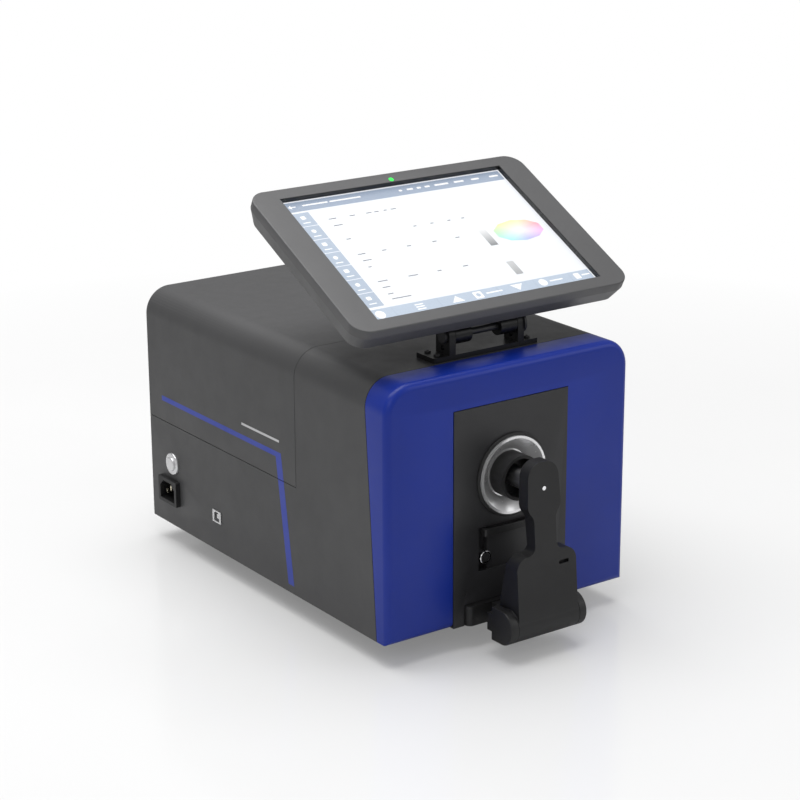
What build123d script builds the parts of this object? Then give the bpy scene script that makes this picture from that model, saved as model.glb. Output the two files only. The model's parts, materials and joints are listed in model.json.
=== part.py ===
from build123d import *
import math
import os

# Benchtop reflectance spectrophotometer with a tilting touch display, a swinging
# sample clamp and a hinged rear hood. Millimetres, +Z up, the front faces -Y.

# Body
WIDTH = 240.0
LENGTH = 368.0
HEIGHT = 210.0
FOOT_H = 20.0
WALL = 3.0
TOP_CORNER_R = 23.0
REAR_EDGE_R = 3.0
SEAM_GAP = 0.5
FRONT_DEPTH_LOW = 14.6
FRONT_DEPTH_HIGH = 29.4
FRONT_EDGE_R = 6.0
FRONT_WALL = 3.5
HOOD_FROM_REAR = 241.0
HOOD_DROP = 115.2
FIT = 0.3
CUT = 1.0
OVERRUN = 5.0

# Feet
FOOT_R = 11.5
FOOT_SIDE_INSET = 48.0
FOOT_END_INSET = 63.0
FOOT_RECESS_R = 4.0
FOOT_TOP_T = 4.0
FOOT_EDGE = 0.8
FOOT_TAPER = 1.5

# Internal plates
BASE_T = 2.5
SHEET_T = 2.5
LEDGE_W = 5.0
LEDGE_H = 3.0
DECK_DROP = 18.8
BULKHEAD_SETBACK = 3.0
BULKHEAD_INSET = 3.4
BASE_SETBACK = 6.0

# Black front plate
PLATE_W = 112.8
PLATE_DROP = 30.0
PLATE_PROUD = 0.6
PLATE_T = 14.0
FRAME_T = 3.0
FRAME_SIDE_GAP = 4.5
FRAME_TOP_GAP = 4.0

# Measuring port and integrating sphere
PORT_DROP = 91.5
APERTURE_R = 12.7
PORT_RING_R = 32.0
PORT_RING_T = 3.6
DISH_R = 30.0
DISH_LOW_R = 19.5
DISH_DEPTH = 8.5
LAND_T = 2.5
PORT_BEZEL_R = 34.5
PORT_BEZEL_T = 2.0
COLLAR_R = 30.0
COLLAR_BORE_R = 26.0
SPHERE_R = 79.0
SPHERE_WALL = 3.0
SPHERE_FROM_FRONT = 106.0
FLANGE_W = 6.0
FLANGE_T = 4.0
REAR_PORT_R = 24.0
REAR_PORT_BORE_R = 18.0
REAR_PORT_L = 10.0
STAND_W = 140.0
STAND_DROP = 38.5
STAND_T = 4.0
COLLAR_LAP = 2.0
REAR_PORT_LIP = 4.0
REAR_PORT_LIP_T = 2.0
PORT_BEZEL_EDGE_R = 0.8

# Recess under the port, with its shelf and button
POCKET_W = 64.0
POCKET_DROP = 75.3
POCKET_H = 36.3
POCKET_DEPTH = 7.0
INSERT_DEPTH = 1.2
INSERT_X = -22.6
SHELF_W = 58.0
SHELF_DROP = 39.5
SHELF_T = 6.0
SHELF_OUT = 5.0
SHELF_CORNER_R = 2.0
GROOVE_INSET = 4.0
GROOVE_DEPTH = 1.0
BUTTON_X = -25.0
BUTTON_DROP = 64.8
BUTTON_R = 3.9
BUTTON_RING_R = 5.4
BUTTON_RING_OUT = 0.6
BUTTON_RING_BEVEL = 0.4
BUTTON_EDGE_R = 0.5
BUTTON_TRAVEL = 2.0
BUTTON_OUT = 0.6
BUTTON_L = 5.0
SCREW_X = 45.6
SCREW_Z = 47.1
SCREW_R = 1.6
SCREW_L = 4.0
SCREW_SINK = 0.6

# Sample clamp
NOTCH_W = 91.2
NOTCH_TOP = 37.5
CLAMP_Y_OUT = 37.6
CLAMP_Z = 29.0
ROLL_R = 14.0
ROLL_W = 61.0
CHEEK_T = 7.0
CHEEK_FLAT = 12.6
BLOCK_W = 90.6
BLOCK_H = 16.6
BLOCK_RISE = 0.5
BLOCK_EDGE_R = 5.0
BLOCK_OUT = 5.0
CROSS_T = 4.0
CROSS_STEP = 1.0
ROLL_GAP = 1.0
CHEEK_EDGE_R = 1.0
AXLE_COVER = 1.5
WEB_W = 44.0
AXLE_R = 3.0
AXLE_END_FIT = 0.1
RUN_FIT = 0.05
SPRING_R = 8.0
SPRING_WIRE = 1.5
SPRING_L = 40.0
ARM_RISE = 21.0
ARM_LOW_W = 59.0
ARM_NECK_W = 21.6
ARM_HEAD_W = 32.8
ARM_SHOULDER_DROP = 52.0
ARM_SHOULDER_R = 10.5
ARM_NECK_DROP = 44.5
ARM_NECK_H = 18.0
ARM_HEAD_DROP = 12.5
ARM_HEAD_R = 12.0
ARM_LEAN = 11.3
ARM_HEAD_T = 11.5
ARM_FOOT_T = 25.0
ARM_SLOT_W = 9.5
ARM_SLOT_H = 3.0
ARM_SLOT_X = 17.0
ARM_SLOT_DROP = 62.9
ARM_SLOT_DEPTH = 3.0
ARM_FOOT_SETBACK = 0.8
ARM_CROWN_HALF = 4.0
ARM_HEAD_TAPER = 1.2
ARM_BACK_STEP = 2.0
ARM_FOOT_RISE = 6.0

# Pusher carried by the clamp
CUP_R = 18.5
CUP_L = 17.0
CUP_WALL = 2.6
CUP_FLOOR = 3.0
STEM_R = 5.0
TIP_R = 1.7
PUSH_TRAVEL = 4.0
PUSH_SPRING_R = 8.4
SPRING_SEAT = 3.6
STEM_HEAD_WALL = 3.5
TIP_PROUD = 0.4
CUP_EDGE_R = 1.0

# Display
TILT = 27.0
SCREEN_Y = -92.1
SCREEN_RISE = 81.2
SCREEN_W = 268.5
SCREEN_H = 174.0
SCREEN_CORNER_R = 15.0
BEZEL_T = 7.6
BEZEL_SIDE = 24.75
BEZEL_END = 11.75
WINDOW_DEPTH = 4.2
REBATE = 2.6
GLASS_T = 1.6
PANEL_T = 3.0
BACK_INSET = 4.4
SCREEN_T = 20.5
BACK_WALL = 2.2
BACK_CORNER_STEP = 2.0
HOLLOW_CORNER_STEP = 3.0
BOARD_T = 1.6
LED_R = 2.2
LED_FROM_EDGE = 8.6
LED_PROUD = 0.3
EDGE_SOFT = 1.0

# Display hinge
HINGE_Y = -144.6
HINGE_RISE = 18.0
HINGE_W = 103.0
HINGE_PLATE_T = 4.0
HINGE_PLATE_L = 25.0
HINGE_EAR_X = 30.8
HINGE_EAR_T = 6.0
HINGE_EAR_R = 9.0
HINGE_PIN_R = 3.0
BARREL_R = 7.5
BARREL_IN_X = 14.3
KNOB_R = 9.0
KNOB_T = 2.4
HINGE_BOLT_R = 1.6
HINGE_HEAD_R = 2.6
HINGE_HEAD_H = 1.6
HINGE_BOLT_INSET = 7.0
HINGE_BOLT_STEP = 6.0
HINGE_PLATE_LEAD = 7.5
HINGE_CORNER_R = 2.0
HINGE_HOLE_RISE = 4.5
HINGE_HOLE_BACK = 2.0
KNOB_EDGE_R = 0.6
SMALL_KNOB_R = 5.4
HINGE_HOLE_R = 2.2
MOUNT_PLATE_W = 110.0
MOUNT_PLATE_H = 62.0
MOUNT_PLATE_T = 2.5
MOUNT_RISE = 8.0
MOUNT_BOLT_X = 45.0
MOUNT_BOLT_H = 24.0
MOUNT_CORNER_R = 6.0
MOUNT_HEAD_R = 2.8
MOUNT_HEAD_H = 1.8
TIE_RISE = 16.0
TIE_FOOT = 2.0

# Hood hinges
KNUCKLE_R = 3.0
KNUCKLE_GAP = 0.3
KNUCKLE_L = 12.0
KNUCKLE_END_GAP = 0.15
HOOD_PIN_R = 1.5
HOOD_HINGE_X = 70.0
LEAF_T = 1.5
LEAF_H = 22.0

# Sockets and switch on the left side
INLET_Y = 148.5
INLET_W = 31.0
INLET_H = 23.4
INLET_PROUD = 4.5
INLET_CORNER_R = 1.5
INLET_DEPTH = 24.0
INLET_BACK_W = 27.0
INLET_BACK_H = 19.5
CAVITY_W = 24.0
CAVITY_H = 16.6
CAVITY_DEPTH = 16.0
CAVITY_CHAMFER = 5.2
BLADE_W = 2.0
BLADE_H = 4.0
BLADE_SPREAD = 7.0
BLADE_RISE = 2.0
BLADE_SINK = 4.0
USB_Y = 69.8
USB_STEP = 1.0
USB_W = 13.6
USB_H = 11.0
USB_PROUD = 0.8
USB_DEPTH = 16.0
USB_CAVITY = 8.4
USB_CHAMFER = 1.9
TONGUE = 4.0
TONGUE_SINK = 1.5
USB_BORE = 12.0
SWITCH_Y = 143.9
SWITCH_BEZEL_R = 10.0
SWITCH_BEZEL_PROUD = 2.0
SWITCH_BODY_R = 8.0
SWITCH_CAP_R = 6.4
SWITCH_CAP_OUT = 3.6
SWITCH_DEPTH = 18.0
SWITCH_EDGE_R = 1.2
SWITCH_FLOOR = 2.0
SWITCH_TRAVEL_ROOM = 6.0

# Modules inside
LAMP_W = 90.0
LAMP_Y0 = 85.0
LAMP_Y1 = 160.0
LAMP_H = 78.0
LAMP_CORNER_R = 4.0
SLOT_INSET = 12.0
SLOT_FRONT = 16.0
SLOT_W = 4.0
BULB_R = 8.0
BULB_RISE = 12.0
BULB_BASE_R = 14.0
BULB_BASE_H = 14.0
TUBE_R = 22.0
TUBE_BORE_R = 19.0
TUBE_LIP = 5.0
TUBE_LIP_T = 4.0
SAMPLE_GAP = 42.0
LENS_T = 5.0
LENS_INSET = 2.0
LENS_EDGE_R = 1.5
RAIL_W = 60.0
RAIL_H = 6.0
RAIL_T = 4.0
RAIL_GAP = 6.0
MODULE_WALL = 2.0
SPECTRO_X = -60.0
SPECTRO_W = 90.0
SPECTRO_L = 84.0
SPECTRO_H = 38.0
SPECTRO_CORNER = 10.0
SPECTRO_SETBACK = 10.0
FIBRE_L = 4.0
FIBRE_R = 6.0
SUPPLY_W = 80.0
SUPPLY_L = 110.0
SUPPLY_H = 40.0
SUPPLY_GAP = 12.0
SUPPLY_TRAY_H = 12.0
STANDOFF_H = 8.0
STANDOFF_R = 3.0
MAIN_BOARD_W = 80.0
MAIN_BOARD_L = 130.0
BOARD_GAP = 6.0
CHIP_H = 3.0
COIL_H = 10.0
CAN_H = 12.0
CAN_R = 5.0
POST_INSET = 6.0
DRIVER_RISE = 2.0
DRIVER_W = 149.0
DRIVER_H = 90.3

BOTTOM = FOOT_H
TOP = FOOT_H + HEIGHT
FRONT = -LENGTH / 2
REAR = LENGTH / 2
HALF = WIDTH / 2
HOOD_Y = REAR - HOOD_FROM_REAR
HOOD_Z = TOP - HOOD_DROP
DECK_Z = HOOD_Z - DECK_DROP
PORT_Z = TOP - PORT_DROP
PLATE_TOP = TOP - PLATE_DROP
STAND_TOP = PORT_Z - STAND_DROP
POCKET_LOW = PORT_Z - POCKET_DROP
POCKET_HIGH = POCKET_LOW + POCKET_H
SHELF_Z = PORT_Z - SHELF_DROP
BUTTON_Z = PORT_Z - BUTTON_DROP
ARM_TOP = PORT_Z + ARM_RISE
ARM_SHOULDER = PORT_Z - ARM_SHOULDER_DROP
ARM_NECK_LOW = PORT_Z - ARM_NECK_DROP
ARM_NECK_HIGH = ARM_NECK_LOW + ARM_NECK_H
ARM_HEAD_LOW = PORT_Z - ARM_HEAD_DROP
ARM_SLOT_Z = PORT_Z - ARM_SLOT_DROP
BLOCK_LOW = BOTTOM + BLOCK_RISE
BLOCK_TOP = BLOCK_LOW + BLOCK_H
SCREEN_Z = TOP + SCREEN_RISE
HINGE_Z = TOP + HINGE_RISE
WINDOW_W = SCREEN_W - 2 * BEZEL_SIDE
WINDOW_H = SCREEN_H - 2 * BEZEL_END
FLOOR = BOTTOM + BASE_T
PLATE_FACE = FRONT - PLATE_PROUD
PLATE_BACK = PLATE_FACE + PLATE_T
FRAME_BACK = PLATE_BACK + FRAME_T
FRAME_W = WIDTH - 2 * (FRONT_WALL + FRAME_SIDE_GAP)
BULKHEAD_Y = HOOD_Y + BULKHEAD_SETBACK
DECK_TOP = DECK_Z + SHEET_T
SOCKET_ROOM = DECK_Z - LEDGE_H - FLOOR - INLET_H - 2 * SWITCH_BEZEL_R
INLET_Z = FLOOR + SOCKET_ROOM * 2 / 3 + INLET_H / 2
USB_Z = INLET_Z - USB_STEP
SWITCH_Z = INLET_Z + INLET_H / 2 + SOCKET_ROOM / 6 + SWITCH_BEZEL_R
SPHERE_Y = FRONT + SPHERE_FROM_FRONT
RING_FACE = PLATE_FACE - PORT_RING_T
DISH_FLOOR = RING_FACE + DISH_DEPTH
DISH_BACK = DISH_FLOOR + LAND_T
CUP_FACE = DISH_FLOOR - FIT
CUP_REAR = CUP_FACE - CUP_L
CLAMP_Y = FRONT - CLAMP_Y_OUT
KNUCKLE_Y = REAR + KNUCKLE_R + KNUCKLE_GAP
KNUCKLE_Z = HOOD_Z
ORIGIN_Y = -((CLAMP_Y - ROLL_R) + (KNUCKLE_Y + KNUCKLE_R)) / 2
BIG = 400.0


def block(x0, x1, y0, y1, z0, z1):
    """A box between two corners."""
    centre = Pos((x0 + x1) / 2, (y0 + y1) / 2, (z0 + z1) / 2)
    return centre * Box(x1 - x0, y1 - y0, z1 - z0)


def rod_x(x0, x1, y, z, radius):
    """A cylinder along X."""
    return Pos((x0 + x1) / 2, y, z) * Rot(0, 90, 0) * Cylinder(radius, x1 - x0)


def rod_y(y0, y1, x, z, radius):
    """A cylinder along Y."""
    return Pos(x, (y0 + y1) / 2, z) * Rot(90, 0, 0) * Cylinder(radius, y1 - y0)


def rod_z(z0, z1, x, y, radius):
    """A cylinder along Z."""
    return Pos(x, y, (z0 + z1) / 2) * Cylinder(radius, z1 - z0)


def prism_y(sketch, y0, y1):
    """A sketch of X and Z, pushed from y0 to y1."""
    plane = Plane(origin=(0, y1, 0), x_dir=(1, 0, 0), z_dir=(0, -1, 0))
    return extrude(plane * sketch, y1 - y0)


def prism_x(sketch, x0, x1):
    """A sketch of Y and Z, pushed from x0 to x1."""
    plane = Plane(origin=(x0, 0, 0), x_dir=(0, 1, 0), z_dir=(1, 0, 0))
    return extrude(plane * sketch, x1 - x0)


def polygon(points):
    """A closed straight-sided face."""
    return make_face(Polyline(*points, close=True))


def group(solids):
    """Several separate solids as one node."""
    return Part() + list(solids)


def case_outline(inset, low=BOTTOM):
    """The body's cross-section, rounded at its two top corners."""
    high = TOP - inset
    face = Pos(0, (low + high) / 2) * Rectangle(WIDTH - 2 * inset, high - low)
    corners = face.vertices().group_by(Axis.Y)[-1]
    return fillet(corners, TOP_CORNER_R - inset)


def seam_y(z):
    """Where the slanted seam of the front panel lies at height z."""
    rise = (FRONT_DEPTH_HIGH - FRONT_DEPTH_LOW) / HEIGHT
    return FRONT + FRONT_DEPTH_LOW + rise * (z - BOTTOM)


def ahead_of_seam(shift):
    """The space in front of the slanted seam, moved along Y by shift."""
    corners = [
        (-BIG, -BIG),
        (seam_y(-BIG) + shift, -BIG),
        (seam_y(BIG) + shift, BIG),
        (-BIG, BIG),
    ]
    return prism_x(polygon(corners), -BIG, BIG)


def case_block():
    """The full outer body with its rear edges eased."""
    body = prism_y(case_outline(0), FRONT - OVERRUN, REAR)
    return fillet(body.faces().sort_by(Axis.Y)[-1].edges(), REAR_EDGE_R)


def socket_cuts():
    """The holes for the inlet, the data socket and the power switch."""
    inlet = block(
        -HALF - CUT, -HALF + WALL + CUT,
        INLET_Y - INLET_BACK_W / 2 - FIT, INLET_Y + INLET_BACK_W / 2 + FIT,
        INLET_Z - INLET_BACK_H / 2 - FIT, INLET_Z + INLET_BACK_H / 2 + FIT,
    )
    usb = block(
        -HALF - CUT, -HALF + WALL + CUT,
        USB_Y - USB_W / 2 - FIT, USB_Y + USB_W / 2 + FIT,
        USB_Z - USB_H / 2 - FIT, USB_Z + USB_H / 2 + FIT,
    )
    switch = rod_x(-HALF - CUT, -HALF + WALL + CUT, SWITCH_Y, SWITCH_Z, SWITCH_BODY_R + FIT)
    return inlet + usb + switch


def make_main_case():
    """Fixed grey casing: full height in front, low walls under the hood."""
    case = case_block() - ahead_of_seam(SEAM_GAP / 2)
    case -= prism_y(case_outline(WALL, BOTTOM - CUT), FRONT - 2 * OVERRUN, REAR - WALL)
    case -= block(-BIG, BIG, HOOD_Y - SEAM_GAP / 2, BIG, HOOD_Z - SEAM_GAP / 2, BIG)
    ledge_x = HALF - WALL
    for side in (-1, 1):
        inner = side * (ledge_x - LEDGE_W)
        outer = side * ledge_x
        case += block(
            min(inner, outer), max(inner, outer),
            BULKHEAD_Y + SHEET_T + FIT, REAR - WALL,
            DECK_Z - LEDGE_H, DECK_Z,
        )
    for x, y in hinge_bolt_places():
        case -= rod_z(TOP - WALL - CUT, TOP + CUT, x, y, HINGE_BOLT_R + RUN_FIT)
    return case - socket_cuts()


def make_rear_hood():
    """Hinged rear cover: top, both sides and the back, open below and in front."""
    hood = case_block() - prism_y(case_outline(WALL, BOTTOM - CUT), FRONT - 2 * OVERRUN, REAR - WALL)
    keep = block(-BIG, BIG, HOOD_Y + SEAM_GAP / 2, BIG, HOOD_Z + SEAM_GAP / 2, BIG)
    return hood & keep


def make_front_panel():
    """Blue front: a shell behind a slanted seam, with a window for the black plate."""
    panel = prism_y(case_outline(0), FRONT, FRONT + 2 * FRONT_DEPTH_HIGH)
    panel = fillet(panel.faces().sort_by(Axis.Y)[0].edges(), FRONT_EDGE_R)
    panel &= ahead_of_seam(-SEAM_GAP / 2)
    hollow = case_outline(FRONT_WALL, BOTTOM + FRONT_WALL)
    panel -= prism_y(hollow, FRONT + FRONT_WALL, FRONT + 3 * FRONT_DEPTH_HIGH)
    half = PLATE_W / 2 + FIT
    return panel - block(-half, half, FRONT - OVERRUN, FRAME_BACK, BOTTOM - OVERRUN, PLATE_TOP + FIT)


def make_front_plate():
    """Black plate with the port hole, the recess, and the notch for the clamp."""
    half = PLATE_W / 2
    plate = block(-half, half, PLATE_FACE, PLATE_BACK, BOTTOM, PLATE_TOP)
    plate -= rod_y(PLATE_FACE - CUT, PLATE_BACK + CUT, 0, PORT_Z, COLLAR_R + FIT)
    pocket = POCKET_W / 2
    mouth = PLATE_FACE - CUT
    plate -= block(-pocket, pocket, mouth, PLATE_FACE + INSERT_DEPTH, POCKET_LOW, POCKET_HIGH)
    plate -= block(-pocket, INSERT_X, mouth, PLATE_FACE + POCKET_DEPTH, POCKET_LOW, POCKET_HIGH)
    plate -= block(
        -NOTCH_W / 2, NOTCH_W / 2, PLATE_FACE - CUT, PLATE_BACK - SHEET_T, BOTTOM - CUT, NOTCH_TOP
    )
    pocket_floor = PLATE_FACE + POCKET_DEPTH
    plate -= rod_y(PLATE_FACE - CUT, pocket_floor, BUTTON_X, BUTTON_Z, BUTTON_RING_R + RUN_FIT)
    plate -= rod_y(pocket_floor - CUT, pocket_floor + BUTTON_L, BUTTON_X, BUTTON_Z, BUTTON_R + RUN_FIT)
    for side in (-1, 1):
        plate -= rod_y(PLATE_FACE - CUT, PLATE_FACE + SCREW_L, side * SCREW_X, SCREW_Z, SCREW_R)
    return plate


def make_front_frame():
    """Inner upright that the black plate and the port collar are fixed to."""
    low = BOTTOM + FRONT_WALL + FIT
    high = TOP - FRONT_WALL - FRAME_TOP_GAP
    frame = block(-FRAME_W / 2, FRAME_W / 2, PLATE_BACK, FRAME_BACK, low, high)
    frame = fillet(frame.edges().filter_by(Axis.Y).group_by(Axis.Z)[-1], TOP_CORNER_R)
    return frame - rod_y(PLATE_BACK - CUT, FRAME_BACK + CUT, 0, PORT_Z, COLLAR_R + FIT)


def make_sample_shelf():
    """Lip that closes the top of the recess and carries small samples."""
    half = SHELF_W / 2
    y0 = PLATE_FACE - SHELF_OUT
    shelf = block(-half, half, y0, PLATE_FACE + INSERT_DEPTH, SHELF_Z - SHELF_T, SHELF_Z)
    shelf = fillet(shelf.edges().filter_by(Axis.Z).group_by(Axis.Y)[0], SHELF_CORNER_R)
    groove_half = half - GROOVE_INSET
    groove_y = y0 + SHELF_CORNER_R
    return shelf - block(
        -groove_half, groove_half, groove_y, PLATE_FACE + OVERRUN, SHELF_Z - GROOVE_DEPTH, SHELF_Z + CUT
    )


def make_button_ring():
    """Bright ring round the button in the recess."""
    front = PLATE_FACE - BUTTON_RING_OUT
    back = PLATE_FACE + POCKET_DEPTH
    ring = rod_y(front, back, BUTTON_X, BUTTON_Z, BUTTON_RING_R)
    ring = chamfer(ring.edges().group_by(Axis.Y)[0], BUTTON_RING_BEVEL)
    return ring - rod_y(front - CUT, back + CUT, BUTTON_X, BUTTON_Z, BUTTON_R + RUN_FIT)


def make_test_button():
    """Push button in the recess."""
    front = PLATE_FACE - BUTTON_OUT
    back = PLATE_FACE + POCKET_DEPTH + BUTTON_L - BUTTON_TRAVEL
    button = rod_y(front, back, BUTTON_X, BUTTON_Z, BUTTON_R)
    return fillet(button.edges().group_by(Axis.Y)[0], BUTTON_EDGE_R)


def make_base_plate():
    """Bottom plate inside the casing walls."""
    inset = WALL + FIT
    return block(
        -HALF + inset, HALF - inset, FRAME_BACK + BASE_SETBACK, REAR - inset, BOTTOM, FLOOR
    )


def make_bulkhead():
    """Upright sheet between the optics and the hooded bay."""
    sheet = prism_y(case_outline(BULKHEAD_INSET, FLOOR), BULKHEAD_Y, BULKHEAD_Y + SHEET_T)
    gap = BULKHEAD_Y + SHEET_T - SPHERE_Y
    hole = math.sqrt(SPHERE_R ** 2 - (gap - SHEET_T) ** 2) + FIT
    return sheet - rod_y(BULKHEAD_Y - CUT, BULKHEAD_Y + SHEET_T + CUT, 0, PORT_Z, hole)


def make_bay_deck():
    """Shelf that carries the lamp house, cut away round the sphere."""
    inset = WALL + FIT
    deck = block(
        -HALF + inset, HALF - inset, BULKHEAD_Y + SHEET_T, REAR - inset, DECK_Z, DECK_TOP
    )
    return deck - Pos(0, SPHERE_Y, PORT_Z) * Sphere(SPHERE_R + FIT)


def make_sphere_half(side):
    """One half of the hollow integrating sphere, with its bolting flange."""
    centre = Pos(0, SPHERE_Y, PORT_Z)
    ball = centre * Sphere(SPHERE_R)
    flange_end = SPHERE_Y + side * FLANGE_T
    low, high = sorted((SPHERE_Y, flange_end))
    ball += rod_y(low, high, 0, PORT_Z, SPHERE_R + FLANGE_W)
    ball -= centre * Sphere(SPHERE_R - SPHERE_WALL)
    if side < 0:
        half = ball & block(-BIG, BIG, -BIG, SPHERE_Y, -BIG, BIG)
        return half - rod_y(-BIG, SPHERE_Y, 0, PORT_Z, COLLAR_R + FIT)
    half = ball & block(-BIG, BIG, SPHERE_Y, BIG, -BIG, BIG)
    return half - rod_y(SPHERE_Y, BIG, 0, PORT_Z, REAR_PORT_R + FIT)


def make_sphere_stand():
    """Upright cradle that holds the sphere's flange off the bottom plate."""
    y0 = SPHERE_Y + FLANGE_T
    stand = block(-STAND_W / 2, STAND_W / 2, y0, y0 + STAND_T, FLOOR, STAND_TOP)
    return stand - rod_y(y0 - CUT, y0 + STAND_T + CUT, 0, PORT_Z, SPHERE_R + FIT)


def make_port_collar():
    """Tube that joins the sphere to the front plate."""
    reach = math.sqrt(SPHERE_R ** 2 - COLLAR_R ** 2)
    tube = rod_y(DISH_BACK, SPHERE_Y - reach + COLLAR_LAP, 0, PORT_Z, COLLAR_R)
    return tube - rod_y(PLATE_FACE - CUT, SPHERE_Y, 0, PORT_Z, COLLAR_BORE_R)


def make_port_bezel():
    """Dark ring round the bright port plate."""
    ring = rod_y(PLATE_FACE - PORT_BEZEL_T, PLATE_FACE, 0, PORT_Z, PORT_BEZEL_R)
    ring = fillet(ring.edges().group_by(Axis.Y)[0], PORT_BEZEL_EDGE_R)
    return ring - rod_y(PLATE_FACE - OVERRUN, PLATE_FACE + CUT, 0, PORT_Z, PORT_RING_R + RUN_FIT)


def make_port_ring():
    """Polished port plate: a conical dish with the aperture in its floor."""
    ring = rod_y(RING_FACE, PLATE_FACE, 0, PORT_Z, PORT_RING_R)
    ring += rod_y(PLATE_FACE, DISH_BACK, 0, PORT_Z, COLLAR_R)
    mouth = Plane(origin=(0, RING_FACE, PORT_Z), z_dir=(0, 1, 0))
    floor = Plane(origin=(0, DISH_FLOOR, PORT_Z), z_dir=(0, 1, 0))
    ring -= loft([mouth * Circle(DISH_R), floor * Circle(DISH_LOW_R)])
    return ring - rod_y(RING_FACE - CUT, DISH_BACK + CUT, 0, PORT_Z, APERTURE_R)


def make_rear_port():
    """Ring at the back of the sphere, facing the transmission sample."""
    y1 = rear_port_face()
    y0 = y1 - REAR_PORT_L
    ring = rod_y(y0, y1, 0, PORT_Z, REAR_PORT_R)
    ring += rod_y(y1 - REAR_PORT_LIP_T, y1, 0, PORT_Z, REAR_PORT_R + REAR_PORT_LIP)
    return ring - rod_y(y0 - CUT, y1 + CUT, 0, PORT_Z, REAR_PORT_BORE_R)


def rear_port_face():
    """Where the back of the rear port ring lies."""
    reach = math.sqrt(SPHERE_R ** 2 - REAR_PORT_R ** 2)
    return SPHERE_Y + reach - COLLAR_LAP + REAR_PORT_L


def make_lamp_house():
    """Hollow box with cooling slots that holds the flash lamp."""
    half = LAMP_W / 2
    high = DECK_TOP + LAMP_H
    house = block(-half, half, LAMP_Y0, LAMP_Y1, DECK_TOP, high)
    house = fillet(house.edges().filter_by(Axis.Z), LAMP_CORNER_R)
    w = MODULE_WALL
    house -= block(-half + w, half - w, LAMP_Y0 + w, LAMP_Y1 - w, DECK_TOP + w, high - w)
    house -= rod_y(LAMP_Y0 - CUT, LAMP_Y0 + w + CUT, 0, PORT_Z, TUBE_BORE_R)
    slots = 7
    pitch = (LAMP_W - 2 * SLOT_INSET) / (slots - 1)
    for i in range(slots):
        x = -half + SLOT_INSET + i * pitch
        house -= block(
            x - SLOT_W / 2, x + SLOT_W / 2,
            LAMP_Y0 + SLOT_FRONT, LAMP_Y1 - SLOT_INSET, high - w - CUT, high + CUT,
        )
    return house


def make_flash_lamp():
    """Flash lamp bulb on its base, inside the lamp house."""
    y = (LAMP_Y0 + LAMP_Y1) / 2
    low = DECK_TOP + MODULE_WALL
    high = PORT_Z + BULB_RISE
    lamp = rod_z(low, low + BULB_BASE_H, 0, y, BULB_BASE_R)
    lamp += rod_z(low + BULB_BASE_H, high, 0, y, BULB_R)
    return lamp + Pos(0, y, high) * Sphere(BULB_R)


def make_lens_tube():
    """Tube on the lamp house that throws light through the sample gap."""
    y0 = rear_port_face() + SAMPLE_GAP
    tube = rod_y(y0, LAMP_Y0, 0, PORT_Z, TUBE_R)
    tube += rod_y(LAMP_Y0 - TUBE_LIP_T, LAMP_Y0, 0, PORT_Z, TUBE_R + TUBE_LIP)
    return tube - rod_y(y0 - CUT, LAMP_Y0 + CUT, 0, PORT_Z, TUBE_BORE_R)


def make_condenser_lens():
    """Lens at the mouth of the tube."""
    y0 = rear_port_face() + SAMPLE_GAP + LENS_INSET
    disc = rod_y(y0, y0 + LENS_T, 0, PORT_Z, TUBE_BORE_R - RUN_FIT)
    return fillet(disc.edges().group_by(Axis.Y)[0], LENS_EDGE_R)


def make_sample_rail():
    """Two-lipped rail that holds a cell in the transmission gap."""
    y0 = rear_port_face() + RAIL_GAP
    y1 = y0 + SAMPLE_GAP - 2 * RAIL_GAP
    half = RAIL_W / 2
    rail = block(-half, half, y0, y1, DECK_TOP, DECK_TOP + RAIL_T + RAIL_H)
    inner = half - RAIL_T
    return rail - block(-inner, inner, y0 - CUT, y1 + CUT, DECK_TOP + RAIL_T, BIG)


def make_spectrometer():
    """Sealed grating module beside the sphere's stand."""
    half = SPECTRO_W / 2
    y0 = BULKHEAD_Y + SHEET_T + SPECTRO_SETBACK
    high = FLOOR + SPECTRO_H
    body = block(SPECTRO_X - half, SPECTRO_X + half, y0, y0 + SPECTRO_L, FLOOR, high)
    body = chamfer(body.edges().filter_by(Axis.Z), SPECTRO_CORNER)
    w = 2 * MODULE_WALL
    middle = y0 + SPECTRO_L / 2
    body -= block(
        SPECTRO_X - half + SPECTRO_CORNER, SPECTRO_X + half - SPECTRO_CORNER,
        y0 + w, y0 + SPECTRO_L - w, FLOOR + w, high - w,
    )
    return body + rod_z(high, high + FIBRE_L, SPECTRO_X, middle, FIBRE_R)


def make_power_supply():
    """Open-frame power supply on the bottom plate."""
    x1 = -HALF + WALL + INLET_DEPTH + SUPPLY_GAP + SUPPLY_W
    y1 = REAR - WALL - SUPPLY_GAP
    base = block(x1 - SUPPLY_W, x1, y1 - SUPPLY_L, y1, FLOOR, FLOOR + SUPPLY_H)
    w = MODULE_WALL
    return base - block(
        x1 - SUPPLY_W + w, x1 - w, y1 - SUPPLY_L + w, y1 - w, FLOOR + SUPPLY_H - SUPPLY_TRAY_H, BIG
    )


def board_box():
    """Where the main board lies, as x0, x1, y0, y1 and its underside."""
    x1 = HALF - WALL - BOARD_GAP
    y1 = REAR - WALL - SUPPLY_GAP
    return x1 - MAIN_BOARD_W, x1, y1 - MAIN_BOARD_L, y1, FLOOR + STANDOFF_H


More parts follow.
